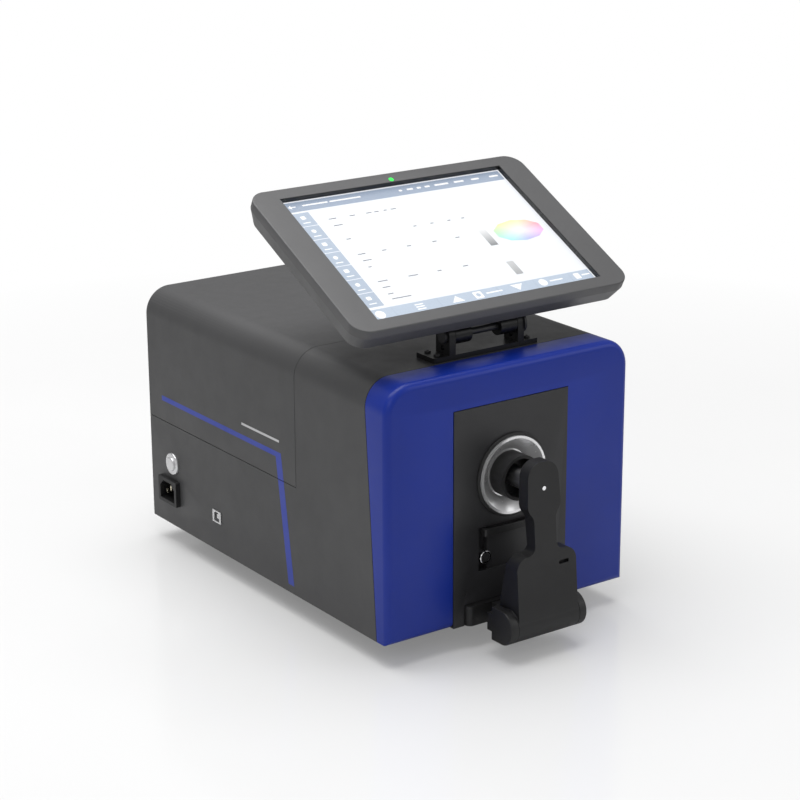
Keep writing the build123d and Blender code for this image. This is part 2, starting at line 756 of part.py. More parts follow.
def make_main_board():
    """Control board with its large components."""
    x0, x1, y0, y1, z = board_box()
    board = block(x0, x1, y0, y1, z, z + BOARD_T)
    top = z + BOARD_T
    w, l = MAIN_BOARD_W, MAIN_BOARD_L
    board += block(x0 + 0.15 * w, x0 + 0.42 * w, y0 + 0.15 * l, y0 + 0.32 * l, top, top + CHIP_H)
    board += block(x0 + 0.56 * w, x0 + 0.87 * w, y0 + 0.23 * l, y0 + 0.38 * l, top, top + COIL_H)
    for share in (0.25, 0.47, 0.70):
        board += rod_z(top, top + CAN_H, x0 + share * w, y1 - 0.12 * l, CAN_R)
    return board


def make_standoffs():
    """Four pillars under the main board."""
    x0, x1, y0, y1, z = board_box()
    posts = [
        rod_z(FLOOR, z, x, y, STANDOFF_R)
        for x in (x0 + POST_INSET, x1 - POST_INSET)
        for y in (y0 + POST_INSET, y1 - POST_INSET)
    ]
    return group(posts)


def make_foot(x, y):
    """Rubber foot: a turned button with a flared base and a screw recess."""
    profile = Polyline(
        (0, 0), (FOOT_R - FOOT_EDGE, 0), (FOOT_R, FOOT_EDGE), (FOOT_R - FOOT_TAPER, FOOT_H),
        (0, FOOT_H), close=True,
    )
    foot = revolve(Plane.XZ * make_face(profile), Axis.Z)
    foot -= rod_z(-CUT, FOOT_H - FOOT_TOP_T, 0, 0, FOOT_RECESS_R)
    return Pos(x, y, 0) * foot


def foot_places():
    """Each foot's name and centre."""
    x = HALF - FOOT_SIDE_INSET
    y = REAR - FOOT_END_INSET
    return {
        "foot_front_left": (-x, -y),
        "foot_front_right": (x, -y),
        "foot_rear_left": (-x, y),
        "foot_rear_right": (x, y),
    }


def make_power_inlet():
    """Appliance inlet: flange, body and the cavity with two cut corners."""
    y0, y1 = INLET_Y - INLET_W / 2, INLET_Y + INLET_W / 2
    z0, z1 = INLET_Z - INLET_H / 2, INLET_Z + INLET_H / 2
    flange = block(-HALF - INLET_PROUD, -HALF, y0, y1, z0, z1)
    flange = fillet(flange.edges().filter_by(Axis.X), INLET_CORNER_R)
    body = block(
        -HALF, -HALF + INLET_DEPTH,
        INLET_Y - INLET_BACK_W / 2, INLET_Y + INLET_BACK_W / 2,
        INLET_Z - INLET_BACK_H / 2, INLET_Z + INLET_BACK_H / 2,
    )
    cavity = Pos(INLET_Y, INLET_Z) * Rectangle(CAVITY_W, CAVITY_H)
    cavity = chamfer(cavity.vertices().group_by(Axis.Y)[-1], CAVITY_CHAMFER)
    mouth = -HALF - INLET_PROUD
    return flange + body - prism_x(cavity, mouth - CUT, mouth + CAVITY_DEPTH)


def make_inlet_blades():
    """The inlet's three contact blades, seated in its floor."""
    floor = -HALF - INLET_PROUD + CAVITY_DEPTH
    tip = -HALF - INLET_PROUD + BLADE_SINK
    blades = []
    for y, z in ((-BLADE_SPREAD, -BLADE_RISE), (BLADE_SPREAD, -BLADE_RISE), (0, BLADE_RISE)):
        cy, cz = INLET_Y + y, INLET_Z + z
        blades.append(
            block(tip, floor, cy - BLADE_W / 2, cy + BLADE_W / 2, cz - BLADE_H / 2, cz + BLADE_H / 2)
        )
    return group(blades)


def make_usb_port():
    """Square data socket with its cut upper corners and centre tongue."""
    shell = block(
        -HALF - USB_PROUD, -HALF + USB_DEPTH,
        USB_Y - USB_W / 2, USB_Y + USB_W / 2, USB_Z - USB_H / 2, USB_Z + USB_H / 2,
    )
    cavity = Pos(USB_Y, USB_Z) * Rectangle(USB_CAVITY, USB_CAVITY)
    cavity = chamfer(cavity.vertices().group_by(Axis.Y)[-1], USB_CHAMFER)
    mouth = -HALF - USB_PROUD
    shell -= prism_x(cavity, mouth - CUT, mouth + USB_BORE)
    half = TONGUE / 2
    return shell + block(
        mouth + TONGUE_SINK, mouth + USB_BORE, USB_Y - half, USB_Y + half, USB_Z - half, USB_Z + half
    )


def make_switch_bezel():
    """Bright ring and barrel of the power switch."""
    face = -HALF - SWITCH_BEZEL_PROUD
    ring = rod_x(face, -HALF, SWITCH_Y, SWITCH_Z, SWITCH_BEZEL_R)
    ring = fillet(ring.edges().group_by(Axis.X)[0], SWITCH_EDGE_R)
    ring += rod_x(-HALF, -HALF + SWITCH_DEPTH, SWITCH_Y, SWITCH_Z, SWITCH_BODY_R)
    bore = rod_x(face - CUT, -HALF + SWITCH_DEPTH - SWITCH_FLOOR, SWITCH_Y, SWITCH_Z, SWITCH_CAP_R + RUN_FIT)
    return ring - bore


def make_power_button():
    """Domed push cap of the power switch."""
    tip = -HALF - SWITCH_CAP_OUT
    cap = rod_x(tip, -HALF + SWITCH_DEPTH - SWITCH_TRAVEL_ROOM, SWITCH_Y, SWITCH_Z, SWITCH_CAP_R)
    return fillet(cap.edges().group_by(Axis.X)[0], SWITCH_EDGE_R)


def make_clamp_bracket():
    """Block in the plate's notch with the two cheeks that hold the axle."""
    notch_back = PLATE_BACK - SHEET_T
    face = PLATE_FACE - BLOCK_OUT
    bracket = block(-BLOCK_W / 2, BLOCK_W / 2, face, notch_back, BLOCK_LOW, BLOCK_TOP)
    bracket = fillet(bracket.edges().filter_by(Axis.Z).group_by(Axis.Y)[0], BLOCK_EDGE_R)
    inner = ROLL_W / 2 + FIT
    reach = inner + CHEEK_T
    cross = CLAMP_Y + ROLL_R + ROLL_GAP
    low, high = BLOCK_LOW + CROSS_STEP, BLOCK_TOP - CROSS_STEP
    bracket += block(-WEB_W / 2, WEB_W / 2, cross, face + 1, low, high)
    bracket += block(-reach + CROSS_STEP, reach - CROSS_STEP, cross, cross + CROSS_T, low, high)
    for side in (-1, 1):
        x0, x1 = sorted((side * inner, side * reach))
        cheek = rod_x(x0, x1, CLAMP_Y, CLAMP_Z, ROLL_R)
        cheek += block(x0, x1, CLAMP_Y, CLAMP_Y + CHEEK_FLAT, CLAMP_Z - ROLL_R, CLAMP_Z + ROLL_R)
        cheek = fillet(cheek.edges().group_by(Axis.X)[0 if side < 0 else -1], CHEEK_EDGE_R)
        x0, x1 = sorted((side * inner, side * (reach - CROSS_STEP)))
        bracket += cheek + block(x0, x1, CLAMP_Y + CHEEK_FLAT - 1, cross + CROSS_T, low, high)
    return bracket - rod_x(-reach + AXLE_COVER, reach - AXLE_COVER, CLAMP_Y, CLAMP_Z, AXLE_R + RUN_FIT)


def make_clamp_axle():
    """Steel axle of the clamp."""
    reach = ROLL_W / 2 + FIT + CHEEK_T - AXLE_COVER - AXLE_END_FIT
    return rod_x(-reach, reach, CLAMP_Y, CLAMP_Z, AXLE_R)


def arm_front_y(z):
    """Front face of the leaning clamp arm at height z."""
    foot = CLAMP_Y - ROLL_R + ARM_FOOT_SETBACK
    return foot + ARM_LEAN * (z - CLAMP_Z) / (ARM_TOP - CLAMP_Z)


def arm_outline():
    """Front view of the arm: wide foot, round shoulders, neck and round head."""
    low, neck, head = ARM_LOW_W / 2, ARM_NECK_W / 2, ARM_HEAD_W / 2
    r = ARM_SHOULDER_R
    brow = (head - ARM_HEAD_TAPER, ARM_TOP - ARM_HEAD_R)
    right = [
        Line((0, CLAMP_Z), (low, CLAMP_Z)),
        Line((low, CLAMP_Z), (low, ARM_SHOULDER - r)),
        TangentArc((low, ARM_SHOULDER - r), (low - r, ARM_SHOULDER), tangent=(0, 1)),
        Spline(
            (low - r, ARM_SHOULDER), (neck, ARM_NECK_LOW),
            tangents=((-1, 0), (0, 1)),
        ),
        Line((neck, ARM_NECK_LOW), (neck, ARM_NECK_HIGH)),
        Spline(
            (neck, ARM_NECK_HIGH), (head, ARM_HEAD_LOW),
            tangents=((0, 1), (0, 1)),
        ),
        Line((head, ARM_HEAD_LOW), brow),
        TangentArc(brow, (ARM_CROWN_HALF, ARM_TOP), tangent=(-0.08, 1)),
        Line((ARM_CROWN_HALF, ARM_TOP), (0, ARM_TOP)),
    ]
    half = make_face(Wire(Curve() + right + [Line((0, ARM_TOP), (0, CLAMP_Z))]))
    return half + mirror(half, about=Plane.YZ)


def arm_side():
    """Side view of the arm: slim at the head, deep at the foot."""
    head_back = head_back_y()
    return polygon([
        (arm_front_y(CLAMP_Z), CLAMP_Z),
        (arm_front_y(ARM_TOP), ARM_TOP),
        (head_back + ARM_BACK_STEP / 2, ARM_TOP),
        (head_back - ARM_BACK_STEP, ARM_NECK_HIGH),
        (arm_front_y(ARM_NECK_LOW) + ARM_HEAD_T - ARM_BACK_STEP / 2, ARM_NECK_LOW - ARM_BACK_STEP),
        (arm_front_y(CLAMP_Z) + ARM_FOOT_T, CLAMP_Z + ROLL_R + ARM_FOOT_RISE),
        (CLAMP_Y + ROLL_R - 2 * FIT, CLAMP_Z),
    ])


def make_clamp_arm():
    """Swinging arm with its round foot, hollowed behind and bored for the stem."""
    arm = prism_x(arm_side(), -BIG, BIG) & prism_y(arm_outline(), CLAMP_Y - BIG, CLAMP_Y + BIG)
    arm += rod_x(-ROLL_W / 2, ROLL_W / 2, CLAMP_Y, CLAMP_Z, ROLL_R)
    arm -= rod_x(-BIG, BIG, CLAMP_Y, CLAMP_Z, AXLE_R + RUN_FIT)
    arm -= rod_x(-SPRING_L / 2, SPRING_L / 2, CLAMP_Y, CLAMP_Z, SPRING_R + FIT)
    bore_end = stem_end() - PUSH_TRAVEL - FIT
    arm -= rod_y(bore_end, CLAMP_Y + BIG, 0, PORT_Z, STEM_R + RUN_FIT)
    arm -= rod_y(-BIG, bore_end + 1, 0, PORT_Z, TIP_R + RUN_FIT)
    slot_y = arm_front_y(ARM_SLOT_Z)
    seat = head_back_y() - SPRING_SEAT
    arm -= rod_y(seat, CLAMP_Y + BIG, 0, PORT_Z, PUSH_SPRING_R + FIT)
    arm -= block(
        ARM_SLOT_X - ARM_SLOT_W / 2, ARM_SLOT_X + ARM_SLOT_W / 2,
        slot_y - OVERRUN, slot_y + ARM_SLOT_DEPTH,
        ARM_SLOT_Z - ARM_SLOT_H / 2, ARM_SLOT_Z + ARM_SLOT_H / 2,
    )
    return arm


def make_clamp_spring():
    """Closing spring round the axle inside the arm's foot."""
    half = SPRING_L / 2 - FIT
    coil = rod_x(-half, half, CLAMP_Y, CLAMP_Z, SPRING_R)
    return coil - rod_x(-BIG, BIG, CLAMP_Y, CLAMP_Z, SPRING_R - SPRING_WIRE)


def head_back_y():
    """Back of the arm's head at the height of the port."""
    return arm_front_y(PORT_Z) + ARM_HEAD_T


def stem_end():
    """Front end of the stem's thick part at rest."""
    return arm_front_y(PORT_Z) + STEM_HEAD_WALL + PUSH_TRAVEL


def make_pusher_cup():
    """Open cup that presses the sample on the port."""
    cup = rod_y(CUP_REAR, CUP_FACE, 0, PORT_Z, CUP_R)
    cup = fillet(cup.edges().group_by(Axis.Y)[-1], CUP_EDGE_R)
    cup -= rod_y(CUP_REAR - CUT, CUP_FACE - CUP_FLOOR, 0, PORT_Z, CUP_R - CUP_WALL)
    return cup - rod_y(CUP_REAR, CUP_FACE - 1, 0, PORT_Z, STEM_R)


def make_pusher_stem():
    """Stem of the cup, with the bright tip that shows in the arm's face."""
    stem = rod_y(stem_end(), CUP_FACE - 1, 0, PORT_Z, STEM_R)
    tip = arm_front_y(PORT_Z) - TIP_PROUD
    return stem + rod_y(tip, stem_end(), 0, PORT_Z, TIP_R)


def make_pusher_spring():
    """Spring between the cup's floor and the arm's head."""
    y0 = head_back_y() + 2 * FIT
    y1 = CUP_FACE - CUP_FLOOR
    coil = rod_y(y0, y1, 0, PORT_Z, PUSH_SPRING_R)
    return coil - rod_y(y0 - CUT, y1 + CUT, 0, PORT_Z, PUSH_SPRING_R - SPRING_WIRE)


def screen_place():
    """The display's own frame: X across, Y up the glass, Z out of it."""
    angle = math.radians(TILT)
    return Plane(
        origin=(0, SCREEN_Y, SCREEN_Z),
        x_dir=(1, 0, 0),
        z_dir=(0, -math.sin(angle), math.cos(angle)),
    ).location


def rounded(width, height, radius):
    """A rectangle with round corners."""
    return RectangleRounded(width, height, radius)


def slab(sketch, top, bottom):
    """A sketch of the display's frame, from depth top to depth bottom."""
    return Pos(0, 0, -bottom) * extrude(sketch, bottom - top)


def make_screen_bezel():
    """Front frame of the display with its sunken window."""
    bezel = slab(rounded(SCREEN_W, SCREEN_H, SCREEN_CORNER_R), 0, BEZEL_T)
    bezel = fillet(bezel.faces().sort_by(Axis.Z)[-1].edges(), EDGE_SOFT)
    bezel -= slab(Rectangle(WINDOW_W, WINDOW_H), -CUT, BEZEL_T + CUT)
    rebate = Rectangle(WINDOW_W + 2 * REBATE + 2 * FIT, WINDOW_H + 2 * REBATE + 2 * FIT)
    bezel -= slab(rebate, WINDOW_DEPTH, BEZEL_T + CUT)
    led = Pos(0, SCREEN_H / 2 - LED_FROM_EDGE, 0) * Circle(LED_R + RUN_FIT)
    return screen_place() * (bezel - slab(led, -CUT, WINDOW_DEPTH - FIT))


def make_screen_glass():
    """Cover glass behind the bezel's window."""
    face = Rectangle(WINDOW_W + 2 * REBATE, WINDOW_H + 2 * REBATE)
    return screen_place() * slab(face, WINDOW_DEPTH, WINDOW_DEPTH + GLASS_T)


def make_display_panel():
    """Display panel behind the glass."""
    face = Rectangle(WINDOW_W + 2 * REBATE, WINDOW_H + 2 * REBATE)
    top = WINDOW_DEPTH + GLASS_T
    return screen_place() * slab(face, top, top + PANEL_T)


def make_screen_back():
    """Tapered rear shell of the display."""
    inner_w, inner_h = SCREEN_W - 2 * BACK_INSET, SCREEN_H - 2 * BACK_INSET
    shell = loft([
        Pos(0, 0, -SCREEN_T) * rounded(inner_w, inner_h, SCREEN_CORNER_R - BACK_CORNER_STEP),
        Pos(0, 0, -BEZEL_T) * rounded(SCREEN_W, SCREEN_H, SCREEN_CORNER_R),
    ])
    w = 2 * BACK_WALL
    hollow = loft([
        Pos(0, 0, BACK_WALL - SCREEN_T) * rounded(
            inner_w - w, inner_h - w, SCREEN_CORNER_R - BACK_CORNER_STEP - HOLLOW_CORNER_STEP
        ),
        Pos(0, 0, -BEZEL_T) * rounded(SCREEN_W - w, SCREEN_H - w, SCREEN_CORNER_R - HOLLOW_CORNER_STEP),
    ])
    shell -= hollow
    for x in (-MOUNT_BOLT_X, MOUNT_BOLT_X):
        for y in mount_bolt_rows():
            shell -= Pos(x, y, -SCREEN_T) * Cylinder(HINGE_BOLT_R + RUN_FIT, 4 * BACK_WALL)
    return screen_place() * shell


def make_screen_board():
    """Driver board on the back of the display panel."""
    top = WINDOW_DEPTH + GLASS_T + PANEL_T
    low = top + DRIVER_RISE
    width, height = DRIVER_W, DRIVER_H
    board = slab(Rectangle(width, height), low, low + BOARD_T)
    for x in (-0.4 * width, 0.4 * width):
        for y in (-0.4 * height, 0.4 * height):
            board += slab(Pos(x, y) * Circle(STANDOFF_R), top, low)
    chip = Rectangle(0.15 * width, 0.15 * width)
    board += slab(Pos(-0.13 * width, 0.1 * height) * chip, low + BOARD_T, low + 2 * BOARD_T)
    board += slab(Pos(0.2 * width, 0) * chip, low + BOARD_T, low + 2 * BOARD_T)
    return screen_place() * board


def make_status_led():
    """Indicator lens in the top bar of the bezel."""
    led = Pos(0, SCREEN_H / 2 - LED_FROM_EDGE, 0) * Circle(LED_R)
    lens = slab(led, -LED_PROUD, WINDOW_DEPTH - FIT)
    return screen_place() * fillet(lens.faces().sort_by(Axis.Z)[-1].edges(), LED_PROUD)


def hinge_in_screen():
    """The hinge axis in the display's own frame, as height and depth."""
    angle = math.radians(TILT)
    dy, dz = HINGE_Y - SCREEN_Y, HINGE_Z - SCREEN_Z
    up = dy * math.cos(angle) + dz * math.sin(angle)
    out = -dy * math.sin(angle) + dz * math.cos(angle)
    return up, out


def mount_bolt_rows():
    """Heights of the two rows of screws in the display's mounting plate."""
    up, out = hinge_in_screen()
    centre = up + MOUNT_RISE + MOUNT_PLATE_H / 2
    return (centre - MOUNT_BOLT_H / 2, centre + MOUNT_BOLT_H / 2)


def make_screen_bracket():
    """Plate on the back of the display with the two hinge barrels."""
    up, out = hinge_in_screen()
    low = up + MOUNT_RISE
    plate = Pos(0, low + MOUNT_PLATE_H / 2) * rounded(MOUNT_PLATE_W, MOUNT_PLATE_H, MOUNT_CORNER_R)
    bracket = slab(plate, SCREEN_T, SCREEN_T + MOUNT_PLATE_T)
    inner = HINGE_EAR_X - FIT
    for side in (-1, 1):
        x0, x1 = sorted((side * BARREL_IN_X, side * inner))
        middle, width = (x0 + x1) / 2, x1 - x0
        web = Pos(middle, up, 0) * Rot(0, 90, 0) * Cylinder(BARREL_R, width)
        web = Pos(0, 0, out) * web
        plane = Plane(origin=(x0, 0, 0), x_dir=(0, 1, 0), z_dir=(1, 0, 0))
        tie = [
            (up, out - BARREL_R),
            (low + TIE_RISE, -SCREEN_T - MOUNT_PLATE_T),
            (low + TIE_FOOT, -SCREEN_T),
            (up, -SCREEN_T),
        ]
        bracket += web + extrude(plane * polygon(tie), width)
    bracket -= Pos(0, up, out) * Rot(0, 90, 0) * Cylinder(HINGE_PIN_R + RUN_FIT, 4 * HINGE_EAR_X)
    for x in (-MOUNT_BOLT_X, MOUNT_BOLT_X):
        for y in mount_bolt_rows():
            bracket -= Pos(x, y, -SCREEN_T) * Cylinder(HINGE_BOLT_R + RUN_FIT, 6 * BACK_WALL)
    return screen_place() * bracket


def screw(head_r, head_h, shank_r, shank_l):
    """A pan-head screw along -Z with its head's underside at the origin."""
    head = Pos(0, 0, head_h / 2) * Cylinder(head_r, head_h)
    head = fillet(head.edges().group_by(Axis.Z)[-1], head_h * 0.35)
    head -= Pos(0, 0, head_h) * extrude(RegularPolygon(head_r * 0.5, 6), head_h * 0.5, both=True)
    return head + Pos(0, 0, -shank_l / 2) * Cylinder(shank_r, shank_l)


def make_screen_screws():
    """Four screws through the mounting plate into the display."""
    one = Rot(180, 0, 0) * screw(MOUNT_HEAD_R, MOUNT_HEAD_H, HINGE_BOLT_R, MOUNT_PLATE_T + BACK_WALL)
    places = [(x, y) for x in (-MOUNT_BOLT_X, MOUNT_BOLT_X) for y in mount_bolt_rows()]
    depth = -SCREEN_T - MOUNT_PLATE_T
    return group(screen_place() * Pos(x, y, depth) * one for x, y in places)


def hinge_bolt_places():
    """Centres of the four screws in the hinge's foot."""
    x = HINGE_W / 2 - HINGE_BOLT_INSET
    middle = HINGE_Y + HINGE_PLATE_L / 2 - HINGE_PLATE_LEAD
    return [(sx * x, middle + sy * HINGE_BOLT_STEP) for sx in (-1, 1) for sy in (-1, 1)]


def make_hinge_base():
    """Foot plate on the body with two ears for the display."""
    y0 = HINGE_Y - HINGE_PLATE_LEAD
    y1 = y0 + HINGE_PLATE_L
    top = TOP + HINGE_PLATE_T
    base = block(-HINGE_W / 2, HINGE_W / 2, y0, y1, TOP, top)
    base = fillet(base.edges().filter_by(Axis.Z), HINGE_CORNER_R)
    for side in (-1, 1):
        x0, x1 = sorted((side * HINGE_EAR_X, side * (HINGE_EAR_X + HINGE_EAR_T)))
        ear = block(x0, x1, y0, y0 + 2 * HINGE_EAR_R, TOP + CUT, HINGE_Z)
        ear += rod_x(x0, x1, y0 + HINGE_EAR_R, HINGE_Z, HINGE_EAR_R)
        base += ear
    base -= rod_x(-BIG, BIG, HINGE_Y, HINGE_Z, HINGE_PIN_R)
    for side in (-1, 1):
        x0, x1 = sorted((side * (HINGE_EAR_X - CUT), side * (HINGE_EAR_X + HINGE_EAR_T + CUT)))
        base -= rod_x(x0, x1, HINGE_Y + HINGE_HOLE_BACK, top + HINGE_HOLE_RISE, HINGE_HOLE_R)
    for x, y in hinge_bolt_places():
        base -= rod_z(TOP - CUT, top + CUT, x, y, HINGE_BOLT_R + RUN_FIT)
    return base


def make_hinge_pin():
    """Pin of the display hinge with a disc head at each end."""
    reach = HINGE_EAR_X + HINGE_EAR_T
    pin = rod_x(-reach, reach, HINGE_Y, HINGE_Z, HINGE_PIN_R)
    for side in (-1, 1):
        x0, x1 = sorted((side * reach, side * (reach + KNOB_T)))
        disc = rod_x(x0, x1, HINGE_Y, HINGE_Z, KNOB_R if side > 0 else SMALL_KNOB_R)
        pin += fillet(disc.edges().group_by(Axis.X)[-1 if side > 0 else 0], KNOB_EDGE_R)
    return pin


def make_hinge_screws():
    """Four screws that hold the hinge's foot on the body."""
    one = screw(HINGE_HEAD_R, HINGE_HEAD_H, HINGE_BOLT_R, HINGE_PLATE_T + WALL)
    z = TOP + HINGE_PLATE_T
    return group(Pos(x, y, z) * one for x, y in hinge_bolt_places())


def knuckle_spans(centre):
    """The outer, centre and outer knuckles of one hood hinge along X."""
    start = centre - 1.5 * KNUCKLE_L
    gap = KNUCKLE_END_GAP
    return [(start + i * KNUCKLE_L + gap, start + (i + 1) * KNUCKLE_L - gap) for i in range(3)]


def make_hood_leaves(on_hood):
    """The two hinge leaves on the hood, or those on the casing."""
    leaves = []
    way = 1 if on_hood else -1
    near = KNUCKLE_R + 2 * KNUCKLE_GAP
    for centre in (-HOOD_HINGE_X, HOOD_HINGE_X):
        spans = knuckle_spans(centre)
        used = spans[1:2] if on_hood else [spans[0], spans[2]]
        z0, z1 = sorted((KNUCKLE_Z + way * near, KNUCKLE_Z + way * LEAF_H))
        leaf = block(spans[0][0], spans[2][1], REAR, REAR + LEAF_T, z0, z1)
        for x0, x1 in used:
            z0, z1 = sorted((KNUCKLE_Z, KNUCKLE_Z + way * near))
            tie = block(x0, x1, REAR + KNUCKLE_GAP, KNUCKLE_Y, z0, z1)
            z0, z1 = sorted((KNUCKLE_Z + way * SEAM_GAP, KNUCKLE_Z + way * (near + 1)))
            foot = block(x0, x1, REAR, REAR + LEAF_T, z0, z1)
            leaf += rod_x(x0, x1, KNUCKLE_Y, KNUCKLE_Z, KNUCKLE_R) + tie + foot
        leaf -= rod_x(-BIG, BIG, KNUCKLE_Y, KNUCKLE_Z, HOOD_PIN_R + RUN_FIT)
        leaves.append(leaf)
    return group(leaves)


def make_hood_pins():
    """Pins of the two hood hinges."""
    reach = 1.5 * KNUCKLE_L
    return group(
        rod_x(x - reach, x + reach, KNUCKLE_Y, KNUCKLE_Z, HOOD_PIN_R)
        for x in (-HOOD_HINGE_X, HOOD_HINGE_X)
    )


def make_plate_screws():
    """Two small screws low in the black plate."""
    return group(
        rod_y(PLATE_FACE + SCREW_SINK, PLATE_FACE + SCREW_L, side * SCREW_X, SCREW_Z, SCREW_R - RUN_FIT)
        for side in (-1, 1)
    )


NODES = {
    "main_case": make_main_case(),
    "rear_hood": make_rear_hood(),
    "front_panel": make_front_panel(),
    "front_plate": make_front_plate(),
    "front_frame": make_front_frame(),
    "sample_shelf": make_sample_shelf(),
    "button_ring": make_button_ring(),
    "test_button": make_test_button(),
    "plate_screws": make_plate_screws(),
    "base_plate": make_base_plate(),
    "bulkhead": make_bulkhead(),
    "bay_deck": make_bay_deck(),
    "sphere_front_half": make_sphere_half(-1),
    "sphere_rear_half": make_sphere_half(1),
    "sphere_stand": make_sphere_stand(),
    "port_collar": make_port_collar(),
    "port_bezel": make_port_bezel(),
    "port_ring": make_port_ring(),
    "rear_port_ring": make_rear_port(),
    "lamp_house": make_lamp_house(),
    "flash_lamp": make_flash_lamp(),
    "lens_tube": make_lens_tube(),
    "condenser_lens": make_condenser_lens(),
    "sample_rail": make_sample_rail(),
    "spectrometer_module": make_spectrometer(),
    "power_supply": make_power_supply(),
    "main_board": make_main_board(),
    "board_standoffs": make_standoffs(),
    "power_inlet": make_power_inlet(),
    "inlet_blades": make_inlet_blades(),
    "usb_port": make_usb_port(),
    "switch_bezel": make_switch_bezel(),
    "power_button": make_power_button(),
    "clamp_bracket": make_clamp_bracket(),
    "clamp_axle": make_clamp_axle(),
    "clamp_arm": make_clamp_arm(),
    "clamp_spring": make_clamp_spring(),
    "pusher_cup": make_pusher_cup(),
    "pusher_stem": make_pusher_stem(),
    "pusher_spring": make_pusher_spring(),
    "screen_bezel": make_screen_bezel(),
    "screen_glass": make_screen_glass(),
    "display_panel": make_display_panel(),
    "screen_back": make_screen_back(),
    "screen_board": make_screen_board(),
    "status_led": make_status_led(),
    "screen_bracket": make_screen_bracket(),
    "screen_screws": make_screen_screws(),
    "hinge_base": make_hinge_base(),
    "hinge_pin": make_hinge_pin(),
    "hinge_screws": make_hinge_screws(),
    "hood_leaves_case": make_hood_leaves(False),
    "hood_leaves_hood": make_hood_leaves(True),
    "hood_pins": make_hood_pins(),
}
for name, (foot_x, foot_y) in foot_places().items():
    NODES[name] = make_foot(foot_x, foot_y)

os.makedirs("parts", exist_ok=True)
for name, solid in NODES.items():
    export_step(Pos(0, ORIGIN_Y, 0) * solid, f"parts/{name}.step")
print("origin shift", round(ORIGIN_Y, 3))
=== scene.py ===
import bmesh
import bpy
import json
import math
from mathutils import Matrix, Vector


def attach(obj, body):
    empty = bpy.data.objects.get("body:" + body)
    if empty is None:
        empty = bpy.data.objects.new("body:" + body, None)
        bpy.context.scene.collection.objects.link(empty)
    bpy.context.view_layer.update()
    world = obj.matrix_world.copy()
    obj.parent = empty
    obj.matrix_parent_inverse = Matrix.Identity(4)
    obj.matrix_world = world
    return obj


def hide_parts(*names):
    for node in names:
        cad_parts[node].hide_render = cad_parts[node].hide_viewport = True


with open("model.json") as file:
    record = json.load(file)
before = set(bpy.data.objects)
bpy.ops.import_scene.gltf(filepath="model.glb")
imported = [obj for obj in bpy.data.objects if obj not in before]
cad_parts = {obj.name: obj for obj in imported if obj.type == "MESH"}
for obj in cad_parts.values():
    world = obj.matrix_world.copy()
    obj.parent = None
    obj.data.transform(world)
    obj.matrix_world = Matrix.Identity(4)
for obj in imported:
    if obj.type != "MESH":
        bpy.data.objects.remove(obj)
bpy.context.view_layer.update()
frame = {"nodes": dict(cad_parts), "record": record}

# Benchtop spectrophotometer. Dimensions are in millimetres in the body's own
# frame (front face at -Y, X centred); spot() turns them into the row frame.
MM = 0.001
ORIGIN_Y = 22.65
HALF = 120.0
SCREEN_Y = -92.1
SCREEN_Z = 311.2
TILT = math.radians(27.0)
WINDOW_W = 219.0
WINDOW_H = 150.5
WINDOW_DEPTH = 4.2
GLASS_T = 1.6


def spot(x, y, z):
    """A point of the body's frame, in the row frame."""
    return Vector((x * MM, (y + ORIGIN_Y) * MM, z * MM))


def place(x, y, z, turn=None):
    """A local frame in millimetres at a point of the body's frame."""
    m = Matrix.Translation(spot(x, y, z))
    if turn is not None:
        m = m @ turn.to_4x4()
    return m @ Matrix.Scale(MM, 4)


FACING_LEFT = Matrix(((0, 0, -1), (-1, 0, 0), (0, 1, 0)))
FACING_REAR = Matrix(((-1, 0, 0), (0, 0, 1), (0, 1, 0)))
FACING_SCREEN = Matrix((
    (1, 0, 0),
    (0, math.cos(TILT), -math.sin(TILT)),
    (0, math.sin(TILT), math.cos(TILT)),
))
ON_SCREEN = place(0, SCREEN_Y, SCREEN_Z, FACING_SCREEN)


# Materials
class Nodes:
    """A short way to build one material's node tree."""

    def __init__(self, name):
        self.material = bpy.data.materials.new(name)
        self.material.use_nodes = True
        self.tree = self.material.node_tree
        self.tree.nodes.clear()
        self.out = self.add("ShaderNodeOutputMaterial")
        self.where = self.add("ShaderNodeTexCoord")

    def add(self, kind, **values):
        node = self.tree.nodes.new(kind)
        for key, value in values.items():
            setattr(node, key, value)
        return node

    def link(self, a, b):
        self.tree.links.new(a, b)

    def noise(self, scale, detail=3.0, rough=0.55, stretch=None):
        node = self.add("ShaderNodeTexNoise")
        node.inputs["Scale"].default_value = scale
        node.inputs["Detail"].default_value = detail
        node.inputs["Roughness"].default_value = rough
        source = self.where.outputs["Object"]
        if stretch:
            mapping = self.add("ShaderNodeMapping")
            mapping.inputs["Scale"].default_value = stretch
            self.link(source, mapping.inputs["Vector"])
            source = mapping.outputs["Vector"]
        self.link(source, node.inputs["Vector"])
        return node.outputs["Fac"]

    def spread(self, fac, low, high, start=0.3, end=0.7):
        node = self.add("ShaderNodeMapRange")
        node.inputs["From Min"].default_value = start
        node.inputs["From Max"].default_value = end
        node.inputs["To Min"].default_value = low
        node.inputs["To Max"].default_value = high
        self.link(fac, node.inputs["Value"])
        return node.outputs["Result"]

    def ramp(self, fac, stops):
        node = self.add("ShaderNodeValToRGB")
        ramp = node.color_ramp
        ramp.elements[0].position, ramp.elements[0].color = stops[0][0], (*stops[0][1], 1)
        ramp.elements[1].position, ramp.elements[1].color = stops[-1][0], (*stops[-1][1], 1)
        for position, colour in stops[1:-1]:
            ramp.elements.new(position).color = (*colour, 1)
        self.link(fac, node.inputs["Fac"])
        return node.outputs["Color"]

    def bump(self, height, strength, distance, below=None):
        node = self.add("ShaderNodeBump")
        node.inputs["Strength"].default_value = strength
        node.inputs["Distance"].default_value = distance
        self.link(height, node.inputs["Height"])
        if below is not None:
            self.link(below, node.inputs["Normal"])
        return node.outputs["Normal"]


